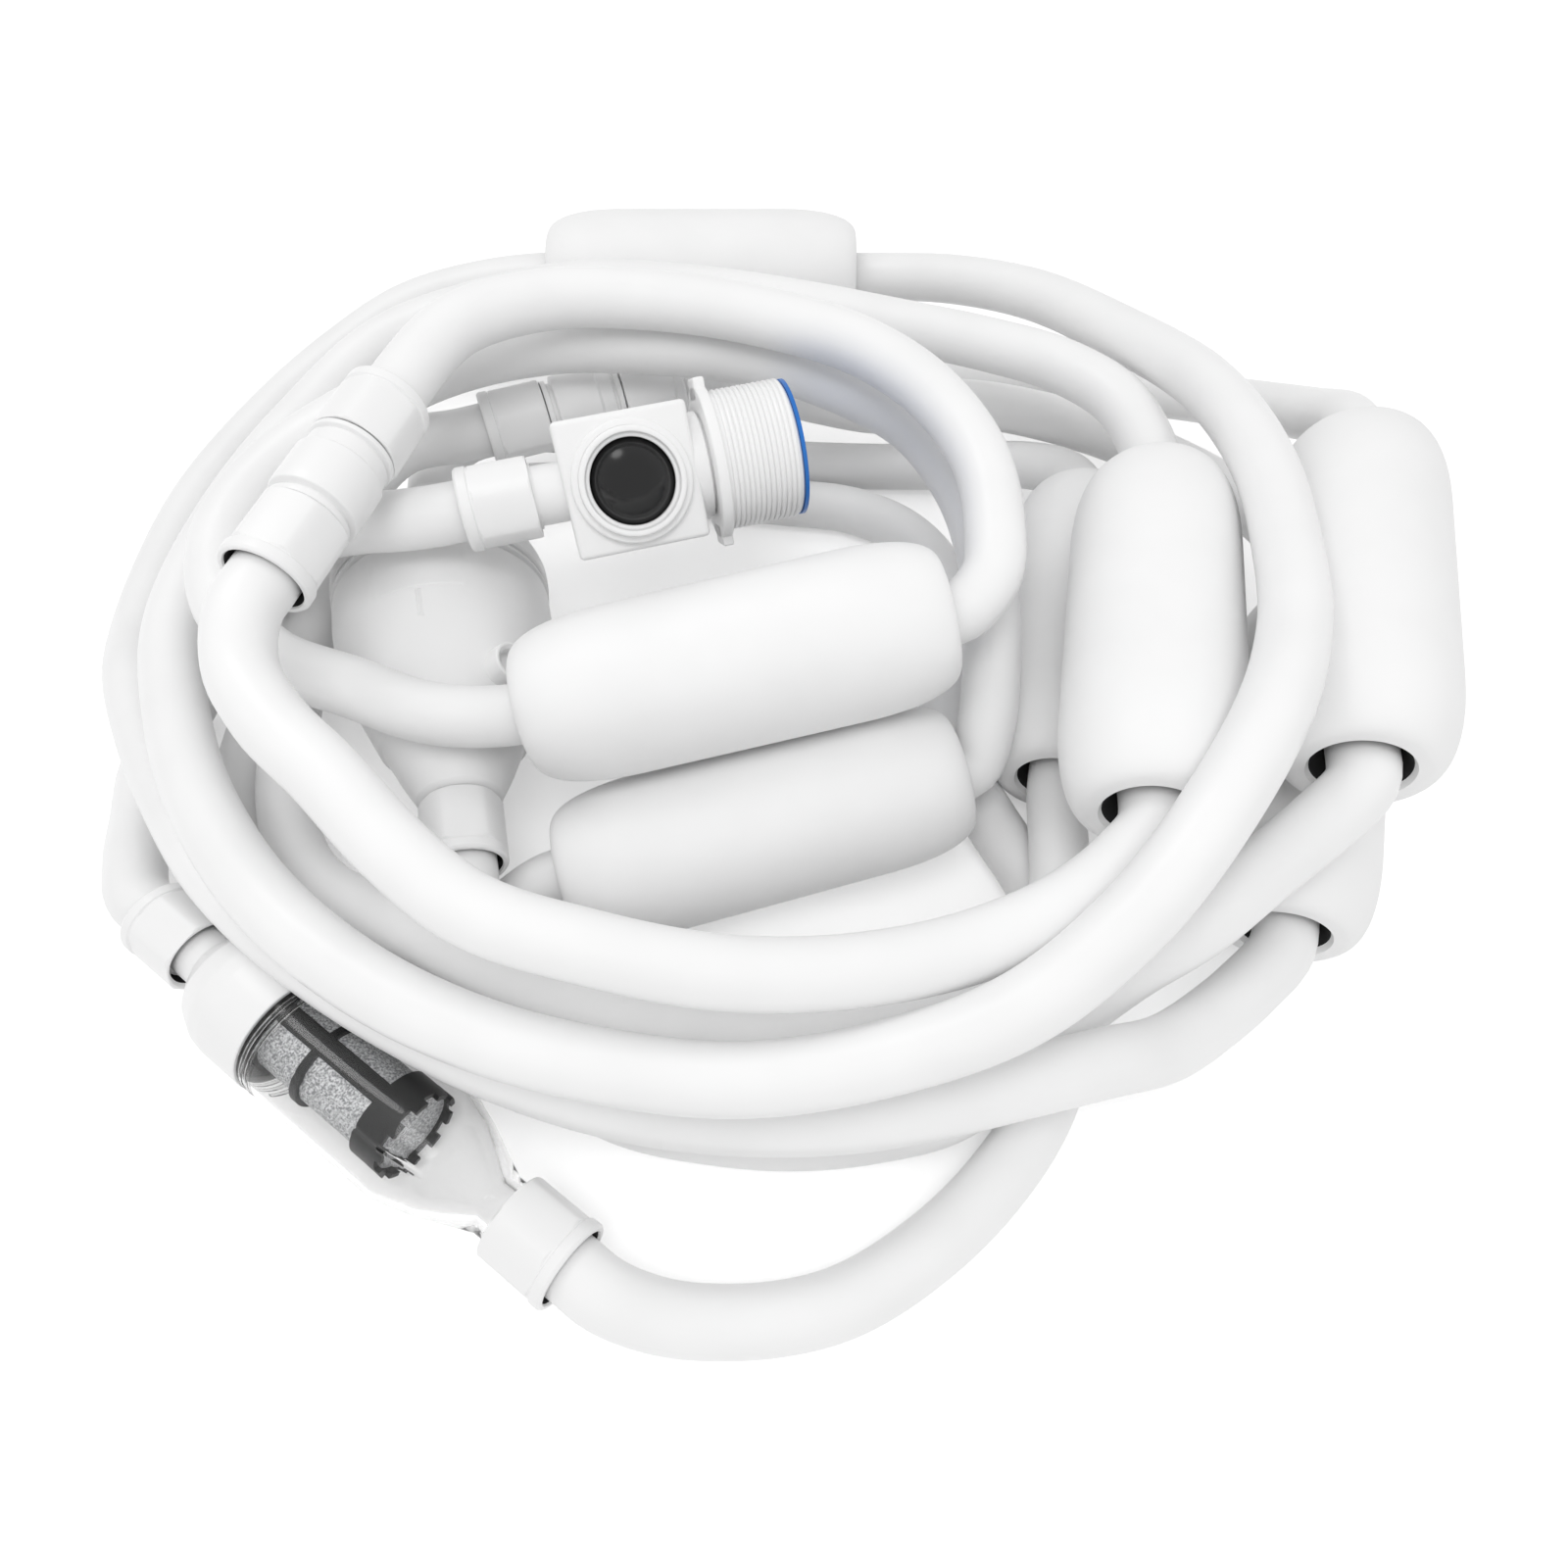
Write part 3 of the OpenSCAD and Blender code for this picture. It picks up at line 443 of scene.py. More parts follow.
def tubeTree():  # a round tube along a curve
    tree = bpy.data.node_groups.new("hoseTube", "GeometryNodeTree")
    tree.interface.new_socket("Line", in_out="INPUT", socket_type="NodeSocketGeometry")
    tree.interface.new_socket("Radius", in_out="INPUT", socket_type="NodeSocketFloat")
    tree.interface.new_socket("Sides", in_out="INPUT", socket_type="NodeSocketInt")
    tree.interface.new_socket("Material", in_out="INPUT", socket_type="NodeSocketMaterial")
    tree.interface.new_socket("Tube", in_out="OUTPUT", socket_type="NodeSocketGeometry")
    given = addNode(tree, "NodeGroupInput")
    ring = addNode(
        tree,
        "GeometryNodeCurvePrimitiveCircle",
        {"Resolution": given.outputs["Sides"], "Radius": given.outputs["Radius"]},
    )
    skin = addNode(
        tree,
        "GeometryNodeCurveToMesh",
        {"Curve": given.outputs["Line"], "Profile Curve": ring.outputs["Curve"], "Fill Caps": True},
    )
    smooth = addNode(
        tree, "GeometryNodeSetShadeSmooth", {"Geometry": skin.outputs["Mesh"], "Shade Smooth": True}
    )
    real = addNode(tree, "GeometryNodeRealizeInstances", {"Geometry": smooth.outputs["Geometry"]})
    coated = addNode(
        tree,
        "GeometryNodeSetMaterial",
        {"Geometry": real.outputs["Geometry"], "Material": given.outputs["Material"]},
    )
    addNode(tree, "NodeGroupOutput", {"Tube": coated.outputs["Geometry"]})
    return tree


def withTree(obj, tree, values):
    modifier = obj.modifiers.new(tree.name, "NODES")
    modifier.node_group = tree
    for socket in tree.interface.items_tree:
        if socket.item_type == "SOCKET" and socket.in_out == "INPUT" and socket.name in values:
            modifier[socket.identifier] = values[socket.name]


def makeHose(number, route):
    name = f"hose{number}"
    line = hoseLine(route)
    curve = bpy.data.curves.new(name + "Line", "CURVE")
    curve.dimensions = "3D"
    spline = curve.splines.new("POLY")
    spline.points.add(len(line) - 1)
    for point, p in zip(spline.points, line):
        point.co = (*p, 1.0)
    raw = newObject(name + "Line", curve)
    withTree(raw, hoseTube, {"Radius": hose["diameter"] / 2, "Sides": hose["sides"], "Material": vinyl})
    made = plainCopy(raw, name)
    cleaned(made.data)
    shaded(made.data)
    dress(made, vinyl, "hose_line", [f"hose_{number}"])
    return made


blockAxis, filterAxis, valveAxis, endAxis = aim(blockTurn), aim(filterTurn), aim(valveTurn), aim(endTurn)
swivelAxis = [aim(t) for t in swivelTurn]
half = swivelLength / 2
filterHalf = filterLength / 2

routes = [
    [
        *port(blockAt + blockNutEnd * blockAxis, -blockAxis),
        (-0.163, 0.035, 0.122), (-0.184, 0.036, 0.119), (-0.205, 0.04, 0.11),
        (-0.224, 0.046, 0.092), (-0.243, 0.05, 0.07), (-0.265, 0.046, 0.048),
        (-0.285, 0.034, 0.029), (-0.3, 0.008, 0.016), (-0.309, -0.022, 0.013),
        (-0.304, -0.052, 0.014), (-0.294, -0.08, 0.022),
        *reversed(port(filterAt - filterHalf * filterAxis, -filterAxis)),
    ],
    [
        *port(filterAt + filterHalf * filterAxis, filterAxis),
        (-0.048, -0.263, 0.02), (-0.02, -0.265, 0.013), (0.02, -0.259, 0.013),
        (0.055, -0.24, 0.013), (0.083, -0.216, 0.013), (0.105, -0.188, 0.013),
        (0.119, -0.155, 0.013), (0.124, -0.12, 0.013), (0.114, -0.085, 0.013),
        (0.099, -0.054, 0.013), (0.086, -0.022, 0.013), (0.081, 0.01, 0.013),
        (0.086, 0.042, 0.013), (0.09, 0.075, 0.013), (0.085, 0.107, 0.013), (0.068, 0.133, 0.013),
        (0.04, 0.15, 0.013), (0.0, 0.157, 0.013), (-0.05, 0.163, 0.013), (-0.105, 0.17, 0.013),
        (-0.157, 0.168, 0.013), (-0.204, 0.146, 0.013), (-0.24, 0.108, 0.013),
        (-0.258, 0.06, 0.013), (-0.263, 0.008, 0.013), (-0.26, -0.042, 0.013),
        (-0.242, -0.08, 0.013), (-0.216, -0.103, 0.013), (-0.188, -0.112, 0.013),
        (-0.16, -0.112, 0.015), (-0.137, -0.11, 0.018),
        *throughFloat(2),
        (0.09, -0.03, 0.062), (0.093, -0.008, 0.071), (0.095, 0.024, 0.078), (0.093, 0.056, 0.084),
        (0.084, 0.09, 0.09), (0.062, 0.12, 0.1), (0.025, 0.138, 0.11), (-0.02, 0.148, 0.118),
        (-0.062, 0.151, 0.121), (-0.115, 0.15, 0.122), (-0.165, 0.138, 0.118),
        (-0.205, 0.114, 0.112), (-0.238, 0.082, 0.107), (-0.251, 0.045, 0.104),
        (-0.243, 0.008, 0.101), (-0.216, -0.02, 0.098), (-0.178, -0.036, 0.098),
        (-0.146, -0.046, 0.094),
        *throughFloat(1),
        (0.086, 0.006, 0.117), (0.09, 0.034, 0.122), (0.086, 0.066, 0.128), (0.068, 0.098, 0.135),
        (0.038, 0.124, 0.14), (-0.009, 0.14, 0.145), (-0.062, 0.147, 0.149), (-0.108, 0.14, 0.154),
        (-0.142, 0.118, 0.158),
        *reversed(port(swivelAt[0] + half * swivelAxis[0], swivelAxis[0])),
    ],
    [
        *port(swivelAt[0] - half * swivelAxis[0], -swivelAxis[0]),
        (-0.195, -0.064, 0.151), (-0.182, -0.084, 0.147), (-0.16, -0.104, 0.142),
        (-0.133, -0.13, 0.134), (-0.108, -0.148, 0.127), (-0.066, -0.16, 0.12),
        (-0.017, -0.167, 0.114), (0.025, -0.164, 0.109), (0.069, -0.153, 0.106),
        (0.104, -0.137, 0.107), (0.126, -0.12, 0.109),
        *throughFloat(3),
        (0.172, 0.104, 0.104), (0.163, 0.135, 0.104), (0.14, 0.16, 0.103), (0.105, 0.178, 0.102),
        (0.06, 0.196, 0.1), (0.005, 0.216, 0.098), (-0.054, 0.232, 0.096), (-0.107, 0.239, 0.094),
        (-0.161, 0.229, 0.09), (-0.212, 0.206, 0.085), (-0.25, 0.15, 0.078), (-0.275, 0.08, 0.074),
        (-0.278, 0.013, 0.075), (-0.259, -0.039, 0.08), (-0.23, -0.088, 0.088),
        (-0.19, -0.133, 0.092), (-0.143, -0.165, 0.09), (-0.104, -0.181, 0.088),
        (-0.067, -0.19, 0.087), (-0.015, -0.196, 0.089), (0.037, -0.19, 0.096),
        (0.08, -0.178, 0.11), (0.116, -0.154, 0.129), (0.148, -0.118, 0.145),
        (0.172, -0.082, 0.151), (0.19, -0.042, 0.147), (0.201, 0.005, 0.14), (0.205, 0.05, 0.136),
        (0.197, 0.113, 0.127), (0.17, 0.18, 0.108), (0.134, 0.235, 0.092), (0.098, 0.268, 0.078),
        *throughFloat(0),
        (-0.18, 0.292, 0.059), (-0.225, 0.281, 0.052), (-0.267, 0.252, 0.04),
        (-0.302, 0.203, 0.032), (-0.326, 0.145, 0.027), (-0.331, 0.09, 0.027),
        (-0.328, 0.047, 0.029), (-0.313, 0.01, 0.041), (-0.292, -0.028, 0.046),
        (-0.264, -0.068, 0.053), (-0.23, -0.107, 0.061), (-0.19, -0.139, 0.063),
        (-0.15, -0.163, 0.061), (-0.112, -0.18, 0.055), (-0.068, -0.192, 0.044),
        (-0.019, -0.198, 0.04), (0.025, -0.198, 0.044), (0.065, -0.193, 0.052),
        (0.092, -0.188, 0.059), (0.119, -0.182, 0.061), (0.147, -0.173, 0.05),
        (0.171, -0.158, 0.04), (0.191, -0.143, 0.036),
        *throughFloat(6),
        (0.269, 0.078, 0.036), (0.264, 0.108, 0.036), (0.248, 0.136, 0.036), (0.22, 0.16, 0.038),
        (0.185, 0.18, 0.04), (0.145, 0.196, 0.042), (0.1, 0.204, 0.044), (0.055, 0.198, 0.044),
        (0.018, 0.194, 0.055), (-0.01, 0.187, 0.07), (-0.03, 0.18, 0.08),
        *reversed(port(swivelAt[1] + half * swivelAxis[1], swivelAxis[1])),
    ],
    [
        *port(swivelAt[1] - half * swivelAxis[1], -swivelAxis[1]),
        (-0.19, 0.12, 0.086), (-0.215, 0.102, 0.071), (-0.233, 0.078, 0.047), (-0.24, 0.05, 0.033),
        (-0.24, 0.02, 0.03), (-0.238, -0.012, 0.027), (-0.232, -0.047, 0.026),
        (-0.217, -0.079, 0.032), (-0.196, -0.102, 0.044), (-0.167, -0.12, 0.059),
        (-0.143, -0.132, 0.07), (-0.112, -0.147, 0.07), (-0.076, -0.156, 0.059),
        (-0.04, -0.159, 0.049), (0.0, -0.16, 0.045), (0.038, -0.157, 0.043),
        (0.075, -0.147, 0.041), (0.102, -0.13, 0.04), (0.117, -0.104, 0.041),
        (0.121, -0.078, 0.039),
        *throughFloat(4),
        (0.158, 0.158, 0.033), (0.138, 0.172, 0.027), (0.105, 0.181, 0.018), (0.06, 0.186, 0.013),
        (0.0, 0.189, 0.013), (-0.05, 0.196, 0.013), (-0.095, 0.203, 0.018), (-0.15, 0.194, 0.034),
        (-0.178, 0.17, 0.046),
        *reversed(port(valveAt + valveTop * valveAxis, -valveAxis)),
    ],
    [
        *port(valveAt + valveEnd * valveAxis, valveAxis),
        (-0.127, -0.123, 0.046), (-0.119, -0.142, 0.033), (-0.101, -0.166, 0.018),
        (-0.07, -0.186, 0.013), (-0.027, -0.196, 0.013), (0.008, -0.198, 0.013),
        (0.038, -0.195, 0.014), (0.064, -0.19, 0.021), (0.089, -0.176, 0.033),
        (0.113, -0.157, 0.042), (0.137, -0.142, 0.054), (0.163, -0.129, 0.065),
        (0.188, -0.112, 0.084), (0.206, -0.1, 0.1),
        *throughFloat(5),
        (0.272, 0.118, 0.104), (0.268, 0.142, 0.088), (0.25, 0.176, 0.066), (0.222, 0.206, 0.048),
        (0.185, 0.232, 0.033), (0.135, 0.254, 0.021), (0.085, 0.27, 0.013), (0.03, 0.284, 0.013),
        (-0.03, 0.293, 0.013), (-0.085, 0.296, 0.013), (-0.128, 0.297, 0.015),
        *reversed(port(endAt, -endAxis)),
    ],
]

hoseTube = tubeTree()
for number, route in enumerate(routes, 1):
    makeHose(number, route)
print("hoses laid")


# Floats


def floatOutline():
    r, face = floats["diameter"] / 2, floats["faceDiameter"] / 2
    end, mouth, power = floats["endLength"], floats["mouthDiameter"] / 2, 2 / floats["shoulder"]
    top, passage, depth = floats["length"] / 2, hose["passage"] / mm, floats["mouthDepth"]
    side = [
        (passage, top - depth), (passage + 0.6, top - depth + 4),
        (mouth - 0.4, top - 2.5), (mouth + 0.8, top),
    ]
    steps = 22
    for k in range(steps + 1):
        a = math.pi / 2 * (1 - k / steps)
        side.append((face + (r - face) * math.cos(a) ** power, top - end * (1 - math.sin(a) ** power)))
    return side + [(r, 0.0)] + [(a, -z) for a, z in reversed(side)]


# mask of the painted shade inside the float mouths
def inMouth(radius, height):
    return radius < floats["mouthDiameter"] / 2 - 0.2 and abs(height) < floats["length"] / 2 - 0.4


def makeFloats():
    for i in range(7):
        mesh = shadeInside(turnedMesh(f"float{i + 1}", floatOutline(), 112), inMouth)
        place = spot(floats["at"][i], floats["turn"][i], floats["rise"][i])
        node = f"float_{i + 1}"
        piece(f"float{i + 1}", mesh, place, foam, node, [node], 50, deepShade)


makeFloats()
print("floats threaded on")


# Hose nuts

nut = {
    "flats": 34.4,
    "diameter": 36.0,
    "length": 31.0,
    "collar": 6.0,
    "mouth": 15.2,  # radius at the face where the hose enters
    "throat": 14.7,
    "spigot": 14.8,
}


def nutAcross(angle, radius, height):
    if height < nut["collar"] - 0.5 or radius < 16.2:
        return radius
    third = math.pi / 3
    flat = nut["flats"] / 2 / math.cos((angle + third / 2) % third - third / 2)
    corner = nut["diameter"] / 2 + 0.3
    sharpness = 16.0
    hexagon = (flat**-sharpness + corner**-sharpness) ** (-1 / sharpness)
    return min(radius, hexagon)


# mask of the painted shade inside the nut throats
def inThroat(radius, height):
    return radius < nut["mouth"] - 0.1 and 0.6 < height < nut["length"] - 0.7


def nutMesh(name):
    r, long, collar, middle = nut["diameter"] / 2, nut["length"], nut["collar"], 15.9
    mouth, throat, spigot = nut["mouth"], nut["throat"], nut["spigot"]
    outline = rounded(
        [
            (throat, middle), (throat, 3.6, 1.5), (mouth, 0.9, 0.6), (mouth + 0.4, 0.0, 0.2),
            (r - 0.9, 0.0, 0.7), (r - 0.1, 1.2, 0.7), (r - 0.1, collar - 1.0, 0.4),
            (r - 0.8, collar - 0.6, 0.3), (r - 0.8, collar, 0.3), (r + 0.9, collar + 0.7, 0.5),
            (r + 0.9, collar + 1.2), (r + 0.9, long - 2.0), (r + 0.1, long - 0.9, 0.6),
            (r - 0.9, long, 0.6), (spigot + 1.4, long, 0.3), (spigot, long - 1.6, 0.5), (spigot, middle),
        ]
    )
    return shadeInside(turnedMesh(name, outline, 144, nutAcross), inThroat)


def makeNut(name, place, node, turn=0.0):
    place = place @ Matrix.Rotation(math.radians(turn), 4, "Z")
    return piece(name, nutMesh(name), place, whiteAbs, "hose_line", [node], crease=24, paintedShade=deepShade)


def turnedRound(length):  # from the other end of a piece of that length
    return Matrix.Translation((0, 0, length)) @ Matrix.Rotation(math.pi, 4, "X")


blockPlace = Matrix.Translation(blockAt + lay) @ Euler(
    (math.radians(blockRoll), 0.0, math.radians(blockTurn)), "XYZ"
).to_matrix().to_4x4()


def alongBlock(x):
    return blockPlace @ Matrix.Translation((x, 0, 0)) @ Matrix.Rotation(math.pi / 2, 4, "Y")


filterPlace = spot(filterAt - filterHalf * filterAxis, filterTurn)
valvePlace = spot(valveAt, valveTurn)
swivelPlaces = [spot(swivelAt[k], swivelTurn[k]) for k in range(2)]
endPlace = spot(endAt, endTurn)

makeNut("blockNut", alongBlock(blockNutEnd), "block_nut", 12)
makeNut("filterInletNut", filterPlace, "filter_inlet_nut", 10)
makeNut("filterOutletNut", filterPlace @ turnedRound(filterLength), "filter_outlet_nut", 22)
makeNut("valveInletNut", valvePlace @ Matrix.Translation((0, 0, valveTop)), "valve_inlet_nut")
makeNut("valveOutletNut", valvePlace @ turnedRound(valveEnd), "valve_outlet_nut", 15)
makeNut("endNut", endPlace, "end_nut", 5)
for k in range(2):
    low = swivelPlaces[k] @ Matrix.Translation((0, 0, -half))
    makeNut(f"swivel{k + 1}NutA", low, f"swivel_{k + 1}_nut_a", 8)
    makeNut(f"swivel{k + 1}NutB", low @ turnedRound(swivelLength), f"swivel_{k + 1}_nut_b", 20)
print("nuts screwed on")

# Swivels

swivel = {"diameter": 36.0, "bore": 10.05, "half": 19.4}


def makeSwivels():
    r, h, bore = swivel["diameter"] / 2, swivel["half"], swivel["bore"]
    outline = rounded(
        [
            (bore, -h), (r - 1.6, -h, 0.5), (r - 1.6, -h + 2.6, 0.3), (r - 3.4, -h + 3.0, 0.3),
            (r - 3.4, -h + 4.6, 0.3), (r - 0.2, -h + 5.2, 0.8), (r, -h + 9, 1.2), (r, h - 12.4, 0.6),
            (r - 1.6, h - 11, 0.5), (r - 1.6, h - 4.6, 0.3), (r - 3.0, h - 4.2, 0.3),
            (r - 3.0, h - 3.0, 0.3), (r - 0.8, h - 2.6, 0.5), (r - 0.8, h - 0.2, 0.6), (bore, h),
        ]
    )
    for k in range(2):
        mesh = turnedMesh(f"swivel{k + 1}Sleeve", outline)
        node = f"swivel_{k + 1}_sleeve"
        piece(f"swivel{k + 1}Sleeve", mesh, swivelPlaces[k], whiteAbs, f"swivel_{k + 1}", [node])


makeSwivels()
print("swivels built")


# Filter

filterSizes = {
    "cap": 28.0,
    "bowl": 27.0,
    "wall": 2.2,
    "neck": 12.5,
    "way": 7.5,
    "capStart": 42.0,
    "capEnd": 88.0,
    "shoulder": 162.0,
    "threadPitch": 3.4,
    "threadTurns": 2.2,
}

basket = {
    "radius": 19.0,
    "wall": 2.0,
    "start": 84.0,
    "hoops": [(0.0, 5.0), (26.0, 29.4), (60.0, 73.4)],  # heights of the rings over the start
    "length": 76.0,
    "spines": [169.0, 309.0, 29.0],  # degrees round the axis
    "spineWidth": 8.6,
    "columns": 120,
    "notch": 6,  # columns in one tooth of the end ring, and in the gap beside it
}


def threadTree():  # a ridge wound round +Z
    tree = bpy.data.node_groups.new("threadRidge", "GeometryNodeTree")
    for name in ("Radius", "Pitch", "Turns", "Ridge"):
        tree.interface.new_socket(name, in_out="INPUT", socket_type="NodeSocketFloat")
    tree.interface.new_socket("Material", in_out="INPUT", socket_type="NodeSocketMaterial")
    tree.interface.new_socket("Thread", in_out="OUTPUT", socket_type="NodeSocketGeometry")
    given = addNode(tree, "NodeGroupInput")
    rise = addNode(
        tree, "ShaderNodeMath", {0: given.outputs["Pitch"], 1: given.outputs["Turns"]}, operation="MULTIPLY"
    )
    spiral = addNode(
        tree,
        "GeometryNodeCurveSpiral",
        {
            "Resolution": 72,
            "Rotations": given.outputs["Turns"],
            "Start Radius": given.outputs["Radius"],
            "End Radius": given.outputs["Radius"],
            "Height": rise.outputs[0],
        },
    )
    ridge = addNode(
        tree, "GeometryNodeCurvePrimitiveCircle", {"Resolution": 8, "Radius": given.outputs["Ridge"]}
    )
    wound = addNode(
        tree,
        "GeometryNodeCurveToMesh",
        {"Curve": spiral.outputs["Curve"], "Profile Curve": ridge.outputs["Curve"], "Fill Caps": True},
    )
    real = addNode(tree, "GeometryNodeRealizeInstances", {"Geometry": wound.outputs["Mesh"]})
    coated = addNode(
        tree,
        "GeometryNodeSetMaterial",
        {"Geometry": real.outputs["Geometry"], "Material": given.outputs["Material"]},
    )
    addNode(tree, "NodeGroupOutput", {"Thread": coated.outputs["Geometry"]})
    return tree


threadRidge = threadTree()


def threadMesh(name, radius, pitch, turns, ridge, material):  # sizes in mm, from height 0 up
    raw = newObject(name, bpy.data.meshes.new(name))
    sizes = {"Radius": radius * mm, "Pitch": pitch * mm, "Turns": turns, "Ridge": ridge * mm}
    withTree(raw, threadRidge, {**sizes, "Material": material})
    made = plainCopy(raw, name + "Wound")
    mesh = made.data.copy()
    bpy.data.objects.remove(made)
    return cleaned(mesh)


def bowlAcross(angle, radius, height):  # one thin moulded rib along the clear wall
    off = abs(math.degrees(angle) % 360 - 204)
    return radius + 0.9 if radius > 20.5 and off < 1.7 and 137 < height < 181 else radius


def basketMesh():
    b = basket
    inner, outer = b["radius"] - b["wall"], b["radius"]
    heights = sorted({h for hoop in b["hoops"] for h in hoop} | {b["length"]})
    columns = b["columns"]
    half = math.degrees(b["spineWidth"] / 2 / b["radius"])

    def solid(i, k):
        if i < 0 or i >= len(heights) - 1:
            return False
        low, high = heights[i], heights[i + 1]
        if low >= b["hoops"][-1][1]:
            return (k // b["notch"]) % 2 == 0
        angle = 360 * (k + 0.5) / columns
        spine = any(abs((angle - a + 180) % 360 - 180) < half for a in b["spines"])
        return spine or any(a <= low and high <= c for a, c in b["hoops"])

    verts = []
    for radius in (outer, inner):
        for h in heights:
            for k in range(columns):
                a = 2 * math.pi * k / columns
                verts.append((radius * math.cos(a) * mm, radius * math.sin(a) * mm, (b["start"] + h) * mm))
    layer = len(heights) * columns
    faces = []
    for i in range(len(heights) - 1):
        for k in range(columns):
            if not solid(i, k):
                continue
            m = (k + 1) % columns
            c = [i * columns + k, i * columns + m, (i + 1) * columns + m, (i + 1) * columns + k]
            faces.append(c)
            faces.append([layer + v for v in reversed(c)])
            beside = [(i - 1, k), (i, m), (i + 1, k), (i, (k - 1) % columns)]
            for n, (bi, bk) in enumerate(beside):
                if not solid(bi, bk):
                    u, v = c[n], c[(n + 1) % 4]
                    faces.append([v, u, u + layer, v + layer])
    mesh = bpy.data.meshes.new("basketCage")
    mesh.from_pydata(verts, [], faces)
    return cleaned(mesh)


def makeBasket():
    b = basket
    start, inner = b["start"], b["radius"] - b["wall"]
    reach = filterSizes["bowl"] - filterSizes["wall"] - 1.3
    rimOutline = [(inner, start), (reach, start, 0.4), (reach, start + 3, 0.4), (inner, start + 3)]
    cage = joined("filterBasket", [basketMesh(), turnedMesh("rim", rounded(rimOutline))])
    piece("filterBasket", cage, filterPlace, basketGrey, "hose_line", ["filter_basket"])
    far, skin = start + 71.5, 0.5
    outside, inside = inner - 0.1, inner - 0.1 - skin
    sleeve = turnedMesh(
        "filterMesh",
        [
            (outside, start + 1), (outside, far + skin), (0, far + skin),
            (0, far), (inside, far), (inside, start + 1),
        ],
    )
    piece("filterMesh", sleeve, filterPlace, meshSteel, "hose_line", ["filter_mesh"])


def makeFilter():
    f = filterSizes
    cap, neck, way, start, end = f["cap"], f["neck"], f["way"], f["capStart"], f["capEnd"]
    capOutline = rounded(
        [
            (way, 25), (neck, 25), (neck, start - 3, 2), (neck + 5, start + 1, 2), (cap - 5, start + 7, 6),
            (cap - 0.8, start + 17, 9), (cap, start + 24, 3), (cap, end - 0.4, 0.4), (cap - 0.4, end),
            (f["bowl"] - 0.9, end), (f["bowl"] - 0.9, end - 8), (cap - 4.5, end - 8, 1),
            (cap - 4.5, start + 16, 4), (cap - 9, start + 10, 2), (way, start, 1),
        ]
    )
    spigotOutline = [
        (way, 2), (9.4, 2), (9.4, 16.2), (13, 16.2), (14, 17.2), (14, 25), (12.5, 25.6), (way, 25.6),
    ]
    capMesh = joined("filterCap", [turnedMesh("cap", capOutline), turnedMesh("capSpigot", spigotOutline)])
    piece("filterCap", capMesh, filterPlace, whiteAbs, "hose_line", ["filter_cap"])

    r, wall, shoulder = f["bowl"], f["wall"], f["shoulder"]
    neckEnd = filterLength / mm - nut["length"] + 2
    bowlOutline = rounded(
        [
            (r - wall - 1, end - 6), (r - 1, end - 6, 0.4), (r - 1, end + 0.3), (r, end + 0.3, 0.5),
            (r, shoulder, 14), (r - 5.5, shoulder + 18, 12), (r - 10, shoulder + 29, 12),
            (neck, shoulder + 40, 6), (neck, neckEnd), (way, neckEnd), (way, shoulder + 37, 5),
            (r - wall - 10.5, shoulder + 26, 12), (r - wall - 5.5, shoulder + 16, 12),
            (r - wall, shoulder - 1, 14), (r - wall, end + 1, 1),
        ],
        6,
    )
    ridges = threadMesh("bowlThread", r - 0.5, f["threadPitch"], f["threadTurns"], 1.0, clearPlastic)
    ridges.transform(Matrix.Translation((0, 0, (end + 1.6) * mm)))
    bowl = joined("filterBowl", [turnedMesh("bowl", bowlOutline, 128, bowlAcross), ridges])
    piece("filterBowl", bowl, filterPlace, clearPlastic, "hose_line", ["filter_bowl"])


makeFilter()
makeBasket()
print("filter assembled")


# Back-up valve

valve = {"radius": 51.5, "wall": 3.0, "seam": -22.0, "neck": 97.0, "way": 7.5, "jetRadius": 9.0}


def valveAcross(angle, radius, height):  # moulded pads on the side that lies up
    off = abs((angle - math.pi + math.pi) % (2 * math.pi) - math.pi)
    if radius < valve["radius"] - valve["wall"] - 30 or radius > valve["radius"]:
        return radius
    if -12.5 < height < 12.5 and off < 0.42:
        return radius + 0.45
    if 14.5 < height < 27 and off < 0.028:
        return radius + 0.9
    return radius


